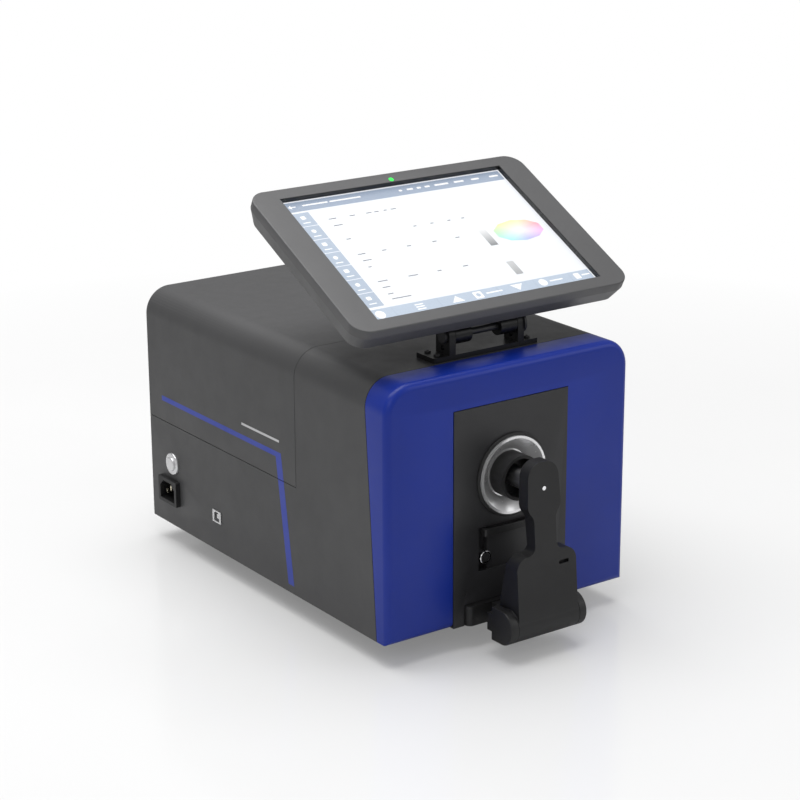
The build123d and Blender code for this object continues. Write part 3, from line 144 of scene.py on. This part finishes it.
def srgb(*values):
    """Linear values of an 8-bit colour."""
    out = []
    for v in values:
        c = v / 255
        out.append(c / 12.92 if c <= 0.04045 else ((c + 0.055) / 1.055) ** 2.4)
    return tuple(out)


def finish_paint(name, colour, rough, vary=0.08, grain=0.6, depth=0.25, metal=0.0,
                 specular=0.5, coat=0.0, wear=0.0, stretch=None, tint=None, aniso=0.0):
    """A coated or moulded surface: grain in millimetres, cloudy colour, worn edges."""
    n = Nodes(name)
    shader = n.add("ShaderNodeBsdfPrincipled")
    dark = tuple(c * (1 - vary) for c in colour)
    light = tuple(min(1, c * (1 + vary)) for c in (tint or colour))
    cloud = n.noise(14, detail=4, stretch=stretch)
    colour_out = n.ramp(cloud, [(0.3, dark), (0.5, colour), (0.7, light)])
    fine = n.noise(1000 / grain, detail=2, rough=0.6, stretch=stretch)
    speck = n.add("ShaderNodeMix", data_type="RGBA", blend_type="MULTIPLY")
    speck.inputs["Factor"].default_value = 1.0
    n.link(colour_out, speck.inputs["A"])
    n.link(n.ramp(fine, [(0.25, (1 - vary,) * 3), (0.75, (1, 1, 1))]), speck.inputs["B"])
    colour_out = speck.outputs["Result"]
    if wear:
        edge = n.add("ShaderNodeNewGeometry")
        worn = n.spread(edge.outputs["Pointiness"], 0.0, wear, 0.52, 0.60)
        rub = n.add("ShaderNodeMix", data_type="RGBA")
        n.link(worn, rub.inputs["Factor"])
        n.link(colour_out, rub.inputs["A"])
        rub.inputs["B"].default_value = (*(min(1, c * 1.7 + 0.02) for c in colour), 1)
        colour_out = rub.outputs["Result"]
    n.link(colour_out, shader.inputs["Base Color"])
    patch = n.noise(45, detail=5, rough=0.65, stretch=stretch)
    n.link(n.spread(patch, rough - 0.05, rough + 0.06), shader.inputs["Roughness"])
    n.link(n.bump(fine, depth, 0.00005), shader.inputs["Normal"])
    shader.inputs["Metallic"].default_value = metal
    shader.inputs["Specular IOR Level"].default_value = specular
    shader.inputs["Coat Weight"].default_value = coat
    shader.inputs["Coat Roughness"].default_value = 0.25
    shader.inputs["Anisotropic"].default_value = aniso
    n.link(shader.outputs["BSDF"], n.out.inputs["Surface"])
    return n.material


def finish_glass(name, colour, rough=0.03, alpha=0.12):
    """Thin clear cover with faint smears in its gloss."""
    n = Nodes(name)
    shader = n.add("ShaderNodeBsdfPrincipled")
    smear = n.noise(30, detail=5, stretch=(1, 3, 1))
    dim = tuple(c * 0.9 for c in colour)
    n.link(n.ramp(smear, [(0.3, colour), (0.7, dim)]), shader.inputs["Base Color"])
    n.link(n.spread(smear, rough, rough + 0.05), shader.inputs["Roughness"])
    shader.inputs["Alpha"].default_value = alpha
    shader.inputs["IOR"].default_value = 1.45
    n.link(shader.outputs["BSDF"], n.out.inputs["Surface"])
    return n.material


def finish_lit(name, colour, strength, rough=0.35, base=0.1):
    """A lit part of the display, with a faint cloudy change in its glow."""
    n = Nodes(name)
    shader = n.add("ShaderNodeBsdfPrincipled")
    shader.inputs["Base Color"].default_value = (*(c * base for c in colour), 1)
    shader.inputs["Roughness"].default_value = rough
    cloud = n.noise(6, detail=1)
    dim = tuple(c * 0.97 for c in colour)
    n.link(n.ramp(cloud, [(0.3, dim), (0.7, colour)]), shader.inputs["Emission Color"])
    shader.inputs["Emission Strength"].default_value = strength
    n.link(shader.outputs["BSDF"], n.out.inputs["Surface"])
    return n.material


GREY = finish_paint("powder_grey", srgb(66, 66, 67), 0.46, vary=0.05, grain=0.55, depth=0.30, wear=0.25)
BLUE = finish_paint("paint_blue", srgb(8, 44, 150), 0.36, vary=0.04, grain=0.9, depth=0.10, specular=0.35,
                    coat=0.1, wear=0.15)
BLACK = finish_paint("anodised_black", srgb(40, 40, 42), 0.42, vary=0.08, grain=0.4, depth=0.25, wear=0.3)
SOFT_BLACK = finish_paint("moulded_black", srgb(26, 26, 27), 0.48, vary=0.08, grain=0.5, depth=0.25,
                          wear=0.2)
SHEET = finish_paint("sheet_black", srgb(48, 48, 52), 0.55, vary=0.08, grain=0.6, depth=0.3)
FRAME = finish_paint("moulded_frame", srgb(84, 84, 85), 0.44, vary=0.05, grain=0.35, depth=0.22, wear=0.2)
CHROME = finish_paint("chrome", (0.88, 0.88, 0.9), 0.10, vary=0.02, grain=2.0, depth=0.02, metal=1.0)
STEEL = finish_paint("brushed_steel", (0.55, 0.55, 0.56), 0.34, vary=0.08, grain=0.5, depth=0.2, metal=1.0,
                     stretch=(1, 1, 12), aniso=0.4)
SILVER = finish_paint("satin_silver", (0.74, 0.74, 0.75), 0.28, vary=0.04, grain=0.5, depth=0.08,
                      metal=0.85)
SPHERE = finish_paint("cast_aluminium", (0.50, 0.50, 0.52), 0.45, vary=0.10, grain=0.8, depth=0.4,
                      metal=0.9)
BRASS = finish_paint("tinned_brass", (0.80, 0.74, 0.58), 0.25, vary=0.06, grain=0.5, depth=0.1, metal=1.0)
RUBBER = finish_paint("rubber", srgb(26, 26, 26), 0.75, vary=0.12, grain=0.7, depth=0.5, specular=0.3)
BOARD = finish_paint("board_green", (0.02, 0.16, 0.07), 0.4, vary=0.15, grain=1.4, depth=0.3)
GLASS = finish_glass("cover_glass", (0.8, 0.85, 0.9), alpha=0.10)
LENS = finish_glass("lens_glass", (0.75, 0.85, 0.92), alpha=0.35)
STRIPE = finish_paint("stripe_blue", srgb(40, 62, 168), 0.40, vary=0.04, grain=0.8, depth=0.08)
LINE = finish_paint("line_white", srgb(205, 205, 206), 0.45, vary=0.03, grain=0.8, depth=0.08)
LED = finish_lit("led_green", (0.03, 0.75, 0.08), 1.6)
# Hinge base and screen bracket: black parts, painted darker still with the shade that falls under the
# display (painted shade).
HINGE_PAINTED_SHADE = finish_paint("hinge_black_painted_shade", srgb(17, 17, 18), 0.38, vary=0.08, grain=0.4, depth=0.25, specular=0.35,
                     wear=0.2)
# Port ring: partly real polished metal, partly a pale diffuse white that paints in the bright reflection the
# ring shows (painted reflection).
PORT_PAINTED_REFLECTION = finish_paint("polished_port_painted_reflection", (0.93, 0.93, 0.94), 0.24, vary=0.03, grain=1.2, depth=0.03, metal=0.65,
                    specular=0.6)

SLOT_FINISH = {
    "case_grey": GREY, "panel_blue": BLUE, "black_satin": BLACK, "sheet_black": SHEET,
    "sphere_metal": SPHERE, "chrome": CHROME, "steel": STEEL, "screw_black": BLACK,
    "brass_contacts": BRASS, "inlet_black": SOFT_BLACK, "socket_silver": SILVER,
    "button_silver": SILVER, "lens_glass": LENS, "board_green": BOARD,
    "screen_frame": FRAME, "cover_glass": GLASS, "led_green": LED, "foot_rubber": RUBBER,
}
NODE_FINISH = {
    "clamp_arm": SOFT_BLACK, "pusher_cup": SOFT_BLACK, "clamp_bracket": SOFT_BLACK,
    "sample_shelf": SOFT_BLACK, "screen_bracket": HINGE_PAINTED_SHADE, "hinge_base": HINGE_PAINTED_SHADE, "port_bezel": SOFT_BLACK,
    "port_ring": PORT_PAINTED_REFLECTION,
}
SLOTS = {part["node"]: part["material_slot"] for part in frame["record"]["subparts"]}
SCREEN_LIT = finish_lit("screen_white", srgb(243, 245, 249), 1.0)
for node, obj in frame["nodes"].items():
    look = NODE_FINISH.get(node) or SLOT_FINISH.get(SLOTS.get(node)) or SCREEN_LIT
    obj.data.materials.clear()
    obj.data.materials.append(look)


# Pieces
def keep(name, mesh, material, body, at=None, smooth=35):
    """Make one piece of a mesh, in its place, riding on its body."""
    obj = bpy.data.objects.new(name, mesh)
    bpy.context.scene.collection.objects.link(obj)
    if at is not None:
        mesh.transform(at)
    if not mesh.materials:
        mesh.materials.append(material)
    if smooth:
        mesh.shade_smooth()
        mesh.set_sharp_from_angle(angle=math.radians(smooth))
    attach(obj, body)
    return obj


def soften(obj, width, segments=2, angle=30):
    """Round off a piece's sharp edges by a width in millimetres."""
    bevel = obj.modifiers.new("soften", "BEVEL")
    bevel.width = width * MM
    bevel.segments = segments
    bevel.limit_method = "ANGLE"
    bevel.angle_limit = math.radians(angle)
    bevel.harden_normals = True
    bevel.use_clamp_overlap = True
    return obj


def dress(node, body, width, material=None, segments=2):
    """A finer copy of a node, with welded faces and softened edges, in its place."""
    source = frame["nodes"][node]
    mesh = source.data.copy()
    bm = bmesh.new()
    bm.from_mesh(mesh)
    bmesh.ops.remove_doubles(bm, verts=bm.verts, dist=0.000004)
    bmesh.ops.dissolve_limit(
        bm, angle_limit=math.radians(0.6), verts=bm.verts, edges=bm.edges,
        use_dissolve_boundaries=False,
    )
    bm.to_mesh(mesh)
    bm.free()
    for layer in ("custom_normal", "sharp_face", "sharp_edge"):
        if layer in mesh.attributes:
            mesh.attributes.remove(mesh.attributes[layer])
    mesh.materials.clear()
    obj = keep(node + "_finish", mesh, material or source.data.materials[0], body)
    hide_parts(node)
    soften(obj, width, segments)
    return obj


def ring_mesh(name, profile, segments=96, closed=True):
    """A turned form: profile points are (radius, height) along the local Z."""
    bm = bmesh.new()
    loops = []
    for radius, height in profile:
        if radius < 1e-6:
            loops.append([bm.verts.new((0, 0, height))])
            continue
        loops.append([
            bm.verts.new((
                radius * math.cos(math.tau * i / segments),
                radius * math.sin(math.tau * i / segments),
                height,
            ))
            for i in range(segments)
        ])
    pairs = list(zip(loops, loops[1:]))
    if closed:
        pairs.append((loops[-1], loops[0]))
    for a, b in pairs:
        for i in range(segments):
            j = (i + 1) % segments
            if len(a) == 1 and len(b) == 1:
                continue
            if len(a) == 1:
                bm.faces.new((a[0], b[j], b[i]))
            elif len(b) == 1:
                bm.faces.new((a[i], a[j], b[0]))
            else:
                bm.faces.new((a[i], a[j], b[j], b[i]))
    bmesh.ops.recalc_face_normals(bm, faces=bm.faces)
    mesh = bpy.data.meshes.new(name)
    bm.to_mesh(mesh)
    bm.free()
    return mesh


def slab_mesh(name, outline, low, high, soft=0.0, segments=2):
    """A flat outline in the local XY plane, thick from low to high, with soft top edges."""
    bm = bmesh.new()
    base = [bm.verts.new((x, y, low)) for x, y in outline]
    face = bm.faces.new(base)
    made = bmesh.ops.extrude_face_region(bm, geom=[face])
    raised = [v for v in made["geom"] if isinstance(v, bmesh.types.BMVert)]
    bmesh.ops.translate(bm, verts=raised, vec=(0, 0, high - low))
    bmesh.ops.recalc_face_normals(bm, faces=bm.faces)
    if soft:
        edges = [e for e in bm.edges if all(abs(v.co.z - high) < 1e-6 for v in e.verts)]
        bmesh.ops.bevel(bm, geom=edges, offset=soft, segments=segments, affect="EDGES", clamp_overlap=True)
    mesh = bpy.data.meshes.new(name)
    bm.to_mesh(mesh)
    bm.free()
    return mesh


def rect(x0, x1, y0, y1, radius=0.0, steps=6):
    """A rectangle's outline, with round corners."""
    if not radius:
        return [(x0, y0), (x1, y0), (x1, y1), (x0, y1)]
    points = []
    for cx, cy, start in (
        (x1 - radius, y0 + radius, -90), (x1 - radius, y1 - radius, 0),
        (x0 + radius, y1 - radius, 90), (x0 + radius, y0 + radius, 180),
    ):
        for i in range(steps + 1):
            a = math.radians(start + 90 * i / steps)
            points.append((cx + radius * math.cos(a), cy + radius * math.sin(a)))
    return points


def slab_piece(name, outline, low, high, material, body, at, soft=0.0):
    return keep(name, slab_mesh(name, outline, low, high, soft), material, body, at)


def turned(name, profile, material, body, at, segments=96, closed=True):
    return keep(name, ring_mesh(name, profile, segments, closed), material, body, at)


# Softened copies of the nodes that show sharp edges
for node, body, width in (
    ("main_case", "root", 0.25), ("rear_hood", "hood", 0.25), ("front_panel", "root", 0.25),
    ("front_plate", "root", 0.4), ("sample_shelf", "root", 0.35), ("clamp_bracket", "root", 0.3),
    ("clamp_arm", "clamp", 0.8), ("hinge_base", "root", 0.4), ("screen_bracket", "screen", 0.4),
    ("screen_bezel", "screen", 0.3), ("screen_back", "screen", 0.5), ("power_inlet", "root", 0.3),
    ("usb_port", "root", 0.15),
):
    dress(node, body, width)

# Stripes of the side wall, a film 0.06 mm proud of the paint. Their outlines
# are given as (Y, Z) of the body's frame.
ON_LEFT = place(-HALF, 0, 0, FACING_LEFT)
FILM = 0.06
SUNK = 0.02
SEAM_Z = 114.8
SEAM_CLEAR = 0.3
BAND_LOW, BAND_HIGH, BAND_REAR = 133.5, 138.0, 159.5
SLANT_FOOT = 27.0
SLANT_Z = 132.0
SLANT_BACK, SLANT_FRONT = -27.4, -35.9
SLANT_RUN = 0.1477
LINE_LOW, LINE_HIGH, LINE_REAR, LINE_FRONT = 146.6, 148.6, 25.3, -32.6


def film(name, outline, material, body):
    points = [(-y, z) for y, z in outline]
    slab_piece(name, points, -SUNK, FILM, material, body, ON_LEFT)


def slant(z, back):
    """The slanted stripe's back or front edge at height z."""
    return (SLANT_BACK if back else SLANT_FRONT) - (SLANT_Z - z) * SLANT_RUN


above, below = SEAM_Z + SEAM_CLEAR, SEAM_Z - SEAM_CLEAR
film("stripe_hood", [
    (BAND_REAR, BAND_HIGH), (BAND_REAR, BAND_LOW), (slant(BAND_LOW, True), BAND_LOW),
    (slant(above, True), above), (slant(above, False), above), (slant(BAND_HIGH, False), BAND_HIGH),
], STRIPE, "hood")
film("stripe_case", [
    (slant(below, True), below), (slant(SLANT_FOOT, True), SLANT_FOOT),
    (slant(SLANT_FOOT, False), SLANT_FOOT), (slant(below, False), below),
], STRIPE, "root")
film("line_hood", [
    (LINE_REAR, LINE_HIGH), (LINE_REAR, LINE_LOW), (LINE_FRONT, LINE_LOW), (LINE_FRONT, LINE_HIGH),
], LINE, "hood")

# Cross-slotted screw heads on the leaves of the hood's hinges
LEAF_FACE = 185.5
LEAF_X = 70.0
LEAF_SCREW_X = 11.0
LEAF_SCREW_RISE = 15.5
HEAD = [(0, 0.0), (2.4, 0.0), (2.4, 0.12), (2.1, 0.35), (0, 0.42)]
HEAD_STEPS = 32
SLOT_HALF_L, SLOT_HALF_W = 1.5, 0.2
SLOT_LOW, SLOT_HIGH = 0.38, 0.46
ACROSS = rect(-SLOT_HALF_L, SLOT_HALF_L, -SLOT_HALF_W, SLOT_HALF_W)
UPRIGHT = rect(-SLOT_HALF_W, SLOT_HALF_W, -SLOT_HALF_L, SLOT_HALF_L)
for column in (-LEAF_X - LEAF_SCREW_X, -LEAF_X + LEAF_SCREW_X, LEAF_X - LEAF_SCREW_X, LEAF_X + LEAF_SCREW_X):
    for rise, body, leaf in ((LEAF_SCREW_RISE, "hood", "hood"), (-LEAF_SCREW_RISE, "root", "case")):
        label = f"{leaf}_{int(column)}".replace("-", "m")
        at = place(column, LEAF_FACE, SEAM_Z + rise, FACING_REAR)
        turned(f"leaf_screw_{label}", HEAD, STEEL, body, at, HEAD_STEPS, False)
        for way, bar in enumerate((UPRIGHT, ACROSS)):
            slab_piece(f"leaf_slot_{label}_{way}", bar, SLOT_LOW, SLOT_HIGH, BLACK, body, at)

# Dark lining of the display's window, and the thinner glass in front of the picture
LINING = finish_paint("gasket_black", srgb(16, 16, 17), 0.30, vary=0.1, grain=0.5, depth=0.1)
WALL_T = 0.5
half_w, half_h = WINDOW_W / 2, WINDOW_H / 2
for name, outline in (
    ("lining_top", rect(-half_w, half_w, half_h - WALL_T, half_h)),
    ("lining_bottom", rect(-half_w, half_w, -half_h, -half_h + WALL_T)),
    ("lining_left", rect(-half_w, -half_w + WALL_T, -half_h + WALL_T, half_h - WALL_T)),
    ("lining_right", rect(half_w - WALL_T, half_w, -half_h + WALL_T, half_h - WALL_T)),
):
    slab_piece(name, outline, -WINDOW_DEPTH + SUNK, -WALL_T, LINING, "screen", ON_SCREEN)
REBATE = 2.6
PANE_T = 1.2
PANE_CORNER_R = 2
PANE_EDGE = 0.1
pane_w, pane_h = half_w + REBATE, half_h + REBATE
pane = slab_piece(
    "cover_glass", rect(-pane_w, pane_w, -pane_h, pane_h, PANE_CORNER_R),
    -WINDOW_DEPTH - PANE_T, -WINDOW_DEPTH, GLASS, "screen", ON_SCREEN, PANE_EDGE,
)
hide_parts("screen_glass")

# The picture on the display: plain bars, cells, marks and a colour chart
PICTURE = -(WINDOW_DEPTH + GLASS_T)
INK = 0.06
lit = {
    "bar": finish_lit("picture_bar", srgb(146, 162, 186), 0.92),
    "cell": finish_lit("picture_cell", srgb(172, 187, 207), 0.92),
    "foot": finish_lit("picture_foot", srgb(184, 199, 218), 0.92),
    "white": finish_lit("picture_white", (1.0, 1.0, 1.0), 1.0),
    "mark": finish_lit("picture_mark", srgb(92, 97, 108), 0.8),
}


def ink(name, outline, tone, layer=1):
    """One flat lit shape of the picture; layers lie on each other."""
    low, high = PICTURE + (layer - 1) * INK, PICTURE + layer * INK
    return slab_piece(name, outline, low, high, lit[tone], "screen", ON_SCREEN)


def disc(x, y, radius, steps=20):
    """A round outline."""
    turns = [math.tau * i / steps for i in range(steps)]
    return [(x + radius * math.cos(a), y + radius * math.sin(a)) for a in turns]


LEFT, RIGHT, LOW, HIGH = -105.4, 109.4, -71.5, 75.1
HEAD_LOW, FOOT_HIGH, COLUMN_RIGHT = 63.5, -58.8, -89.5
ink("picture_head", rect(LEFT, RIGHT, HEAD_LOW, HIGH), "bar")
ink("picture_foot", rect(LEFT, RIGHT, LOW, FOOT_HIGH), "foot")
CELLS = 7
pitch = (HEAD_LOW - 2 - FOOT_HIGH - 2) / CELLS
for i in range(CELLS):
    top = HEAD_LOW - 2 - i * pitch
    ink(f"picture_cell_{i}", rect(LEFT, COLUMN_RIGHT, top - pitch + 0.7, top), "cell")
    middle = top - pitch / 2
    shape = disc(-97.6, middle + 2.2, 2.1) if i % 2 else rect(-99.8, -95.4, middle + 0.4, middle + 4.4, 0.9)
    ink(f"picture_icon_{i}", shape, "white", 2)
    ink(f"picture_dash_{i}", rect(-101.0, -94.2, middle - 4.4, middle - 3.4), "white", 2)
ink("picture_back_bar", rect(-101.8, -96.4, 69.1, 70.1), "white", 2)
ink("picture_back_tip", [(-103.4, 69.6), (-100.6, 67.2), (-100.6, 72.0)], "white", 2)
for i, (x, width) in enumerate(((-90, 24), (-64, 30))):
    ink(f"picture_title_{i}", rect(x, x + width, 69.0, 70.6), "white", 2)
STATUS = ((4, 3), (12, 6), (22, 4), (30, 5), (40, 14), (60, 10), (78, 8), (97, 9))
for i, (x, width) in enumerate(STATUS):
    ink(f"picture_status_{i}", rect(x, x + width, 68.6, 70.6, 0.6), "white", 2)
for i, x in enumerate((-86.0, -43.0, 15.0, 52.0, 88.0)):
    ink(f"picture_rule_{i}", rect(x, x + 0.6, LOW, FOOT_HIGH), "cell", 2)
ink("picture_key_round", disc(-98.8, -65.2, 4.4), "white", 2)
for i in range(3):
    ink(f"picture_menu_{i}", rect(-65, -57, -62.6 - 2.6 * i, -61.4 - 2.6 * i), "white", 2)
ink("picture_up", [(-31.5, -67.5), (-19.5, -67.5), (-25.5, -60.6)], "white", 2)
ink("picture_down", [(28.8, -60.6), (34.8, -67.5), (40.8, -60.6)], "white", 2)
ink("picture_key_square", rect(-9.0, -0.8, -68.2, -60.4, 1.2), "white", 2)
ink("picture_key_ring", disc(-4.9, -64.3, 2.0), "foot", 3)
ink("picture_key_disc", disc(60.0, -64.2, 4.0), "white", 2)
ink("picture_key_tag", rect(92.4, 98.0, -67.6, -61.0, 1.0), "white", 2)
for i, (x, width) in enumerate(((3, 16), (67, 13), (100, 8))):
    ink(f"picture_word_bar_{i}", rect(x, x + width, -64.8, -63.4), "white", 2)
ROWS = (
    (49.3, ((-77, 7), (-57, 5), (-41, 5), (-33, 4), (-24, 3), (-17, 5))), (40.8, ((-77, 8),)),
    (25.2, ((-10, 3), (7, 3), (24, 3), (38, 3))), (23.1, ((-76, 4),)),
    (3.8, ((-77, 7), (-54, 4), (-30, 4), (-5, 4), (18, 4))), (-4.1, ((-77, 8),)), (-12.0, ((-77, 3),)),
    (-29.8, ((-79, 9), (-50, 9), (-22, 4), (3, 5))), (-37.1, ((-79, 7),)), (-45.0, ((-79, 5),)),
    (-51.0, ((-79, 18),)),
)
MARK_HALF = 0.45
for i, (y, marks) in enumerate(ROWS):
    for j, (x, width) in enumerate(marks):
        ink(f"picture_mark_{i}_{j}", rect(x, x + width, y - MARK_HALF, y + MARK_HALF), "mark")


def finish_fade(name, low, high, dark, light):
    """A grey ramp along the screen's height, between two heights in millimetres."""
    m = Nodes(name)
    shader = m.add("ShaderNodeBsdfPrincipled")
    split = m.add("ShaderNodeSeparateXYZ")
    m.link(m.where.outputs["Object"], split.inputs["Vector"])
    ramp = m.ramp(m.spread(split.outputs["Y"], 0.0, 1.0, low, high), [(0.0, dark), (1.0, light)])
    m.link(ramp, shader.inputs["Emission Color"])
    shader.inputs["Emission Strength"].default_value = 0.95
    shader.inputs["Base Color"].default_value = (0.05, 0.05, 0.05, 1)
    m.link(shader.outputs["BSDF"], m.out.inputs["Surface"])
    return m.material


def local_ink(name, outline, material):
    """A lit shape that keeps the screen's own frame, for materials drawn in it."""
    mesh = slab_mesh(name, outline, PICTURE, PICTURE + INK)
    mesh.materials.append(material)
    obj = bpy.data.objects.new(name, mesh)
    bpy.context.scene.collection.objects.link(obj)
    obj.matrix_world = ON_SCREEN
    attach(obj, "screen")
    return obj


for level, x0, x1, y0, y1, dark, light in (
    ("high", 43.2, 50.6, -12.6, 8.0, 92, 250), ("low", 43.4, 50.3, -50.0, -33.7, 150, 205),
):
    fade = finish_fade(f"fade_{level}", y0, y1, srgb(dark, dark, dark), srgb(light, light, light))
    local_ink(f"picture_scale_{level}", rect(x0, x1, y0, y1), fade)

# Colour chart: hue runs round it, pale in the middle
CHART = (80.0, 0.0)
CHART_W, CHART_H = 24.5, 13.2


def finish_chart():
    """Hues that run round the chart and pale towards its middle."""
    m = Nodes("colour_chart")
    shader = m.add("ShaderNodeBsdfPrincipled")
    shift = m.add("ShaderNodeMapping")
    shift.inputs["Location"].default_value = (-CHART[0] / CHART_W, -CHART[1] / CHART_H, 0)
    shift.inputs["Scale"].default_value = (1 / CHART_W, 1 / CHART_H, 0)
    m.link(m.where.outputs["Object"], shift.inputs["Vector"])
    round_hue = m.add("ShaderNodeTexGradient", gradient_type="RADIAL")
    m.link(shift.outputs["Vector"], round_hue.inputs["Vector"])
    hues = m.ramp(round_hue.outputs["Fac"], [
        (0.0, (0.45, 1.0, 0.50)), (0.14, (0.30, 0.95, 1.0)), (0.28, (0.42, 0.40, 1.0)),
        (0.42, (0.95, 0.45, 1.0)), (0.56, (1.0, 0.28, 0.38)), (0.72, (1.0, 0.95, 0.35)),
        (0.86, (0.92, 1.0, 0.30)), (1.0, (0.45, 1.0, 0.50)),
    ])
    from_middle = m.add("ShaderNodeVectorMath", operation="LENGTH")
    m.link(shift.outputs["Vector"], from_middle.inputs[0])
    pale = m.add("ShaderNodeMix", data_type="RGBA")
    m.link(m.spread(from_middle.outputs["Value"], 0.0, 1.0, 0.1, 1.0), pale.inputs["Factor"])
    pale.inputs["A"].default_value = (1, 1, 1, 1)
    m.link(hues, pale.inputs["B"])
    m.link(pale.outputs["Result"], shader.inputs["Emission Color"])
    shader.inputs["Emission Strength"].default_value = 0.97
    shader.inputs["Base Color"].default_value = (0.05, 0.05, 0.05, 1)
    m.link(shader.outputs["BSDF"], m.out.inputs["Surface"])
    return m.material


CHART_CORNERS = 10
turns = [math.tau * (i + 0.5) / CHART_CORNERS for i in range(CHART_CORNERS)]
chart = [(CHART[0] + CHART_W * math.cos(a), CHART[1] + CHART_H * math.sin(a)) for a in turns]
local_ink("picture_chart", chart, finish_chart())

# Floor, light and camera
floor_mesh = bpy.data.meshes.new("floor")
FLOOR_HALF = 6.0
floor_corners = [(x, y, 0) for x, y in rect(-FLOOR_HALF, FLOOR_HALF, -FLOOR_HALF, FLOOR_HALF)]
floor_mesh.from_pydata(floor_corners, [], [(0, 1, 2, 3)])
floor = bpy.data.objects.new("floor", floor_mesh)
bpy.context.scene.collection.objects.link(floor)


def finish_floor():
    """Pale glossy floor that turns plain white away from the object, for the camera alone."""
    n = Nodes("floor_white")
    shader = n.add("ShaderNodeBsdfPrincipled")
    shader.inputs["Roughness"].default_value = 0.16
    shader.inputs["Specular IOR Level"].default_value = 0.6
    tone = n.noise(3, detail=2)
    n.link(n.ramp(tone, [(0.3, (0.64, 0.64, 0.64)), (0.7, (0.66, 0.66, 0.66))]), shader.inputs["Base Color"])
    rays = n.add("ShaderNodeLightPath")
    lift = n.add("ShaderNodeMath", operation="MULTIPLY")
    lift.inputs[1].default_value = 0.20
    n.link(rays.outputs["Is Camera Ray"], lift.inputs[0])
    n.link(lift.outputs[0], shader.inputs["Emission Strength"])
    shader.inputs["Emission Color"].default_value = (1, 1, 1, 1)
    plain_white = n.add("ShaderNodeEmission")
    away = n.add("ShaderNodeVectorMath", operation="LENGTH")
    n.link(n.where.outputs["Object"], away.inputs[0])
    far = n.spread(away.outputs["Value"], 0.0, 1.0, 0.45, 1.1)
    seen_far = n.add("ShaderNodeMath", operation="MULTIPLY")
    n.link(far, seen_far.inputs[0])
    n.link(rays.outputs["Is Camera Ray"], seen_far.inputs[1])
    blend = n.add("ShaderNodeMixShader")
    n.link(seen_far.outputs[0], blend.inputs["Fac"])
    n.link(shader.outputs["BSDF"], blend.inputs[1])
    n.link(plain_white.outputs["Emission"], blend.inputs[2])
    n.link(blend.outputs["Shader"], n.out.inputs["Surface"])
    return n.material


floor_mesh.materials.append(finish_floor())

world = bpy.data.worlds.new("studio")
bpy.context.scene.world = world
world.use_nodes = True
tree = world.node_tree
tree.nodes.clear()
out = tree.nodes.new("ShaderNodeOutputWorld")
plain = tree.nodes.new("ShaderNodeBackground")
plain.inputs["Color"].default_value = (1, 1, 1, 1)
plain.inputs["Strength"].default_value = 0.38
seen = tree.nodes.new("ShaderNodeBackground")
seen.inputs["Color"].default_value = (1, 1, 1, 1)
seen.inputs["Strength"].default_value = 1.0
mix = tree.nodes.new("ShaderNodeMixShader")
path = tree.nodes.new("ShaderNodeLightPath")
tree.links.new(path.outputs["Is Camera Ray"], mix.inputs["Fac"])
tree.links.new(plain.outputs["Background"], mix.inputs[1])
tree.links.new(seen.outputs["Background"], mix.inputs[2])
tree.links.new(mix.outputs["Shader"], out.inputs["Surface"])


def softbox(name, where, aim, size, power):
    light = bpy.data.lights.new(name, "AREA")
    light.shape = "RECTANGLE"
    light.size, light.size_y = size
    light.energy = power
    obj = bpy.data.objects.new(name, light)
    bpy.context.scene.collection.objects.link(obj)
    obj.location = where
    obj.rotation_euler = (Vector(aim) - Vector(where)).to_track_quat("-Z", "Y").to_euler()


softbox("overhead", (-0.2, 0.4, 2.2), (0, 0, 0.1), (2.2, 2.2), 60)
softbox("front_left", (-2.0, -1.6, 1.5), (0, 0, 0.15), (1.4, 1.4), 6)
softbox("front_right", (1.8, -1.8, 1.3), (0, 0, 0.15), (1.4, 1.4), 8)

camera_data = bpy.data.cameras.new("camera")
camera_data.sensor_width = 36.0
camera_data.sensor_fit = "HORIZONTAL"
camera_data.lens = 99.254
camera_data.clip_end = 50
camera = bpy.data.objects.new("camera", camera_data)
bpy.context.scene.collection.objects.link(camera)
camera.matrix_world = Matrix((
    (0.8148086, 0.1799005, -0.5511105, -1.0190844),
    (-0.5797143, 0.2458318, -0.7768514, -1.4471671),
    (-0.0042755, 0.9524721, 0.3045967, 0.7237570),
    (0, 0, 0, 1),
))
bpy.context.scene.camera = camera
bpy.context.scene.view_settings.view_transform = "Standard"
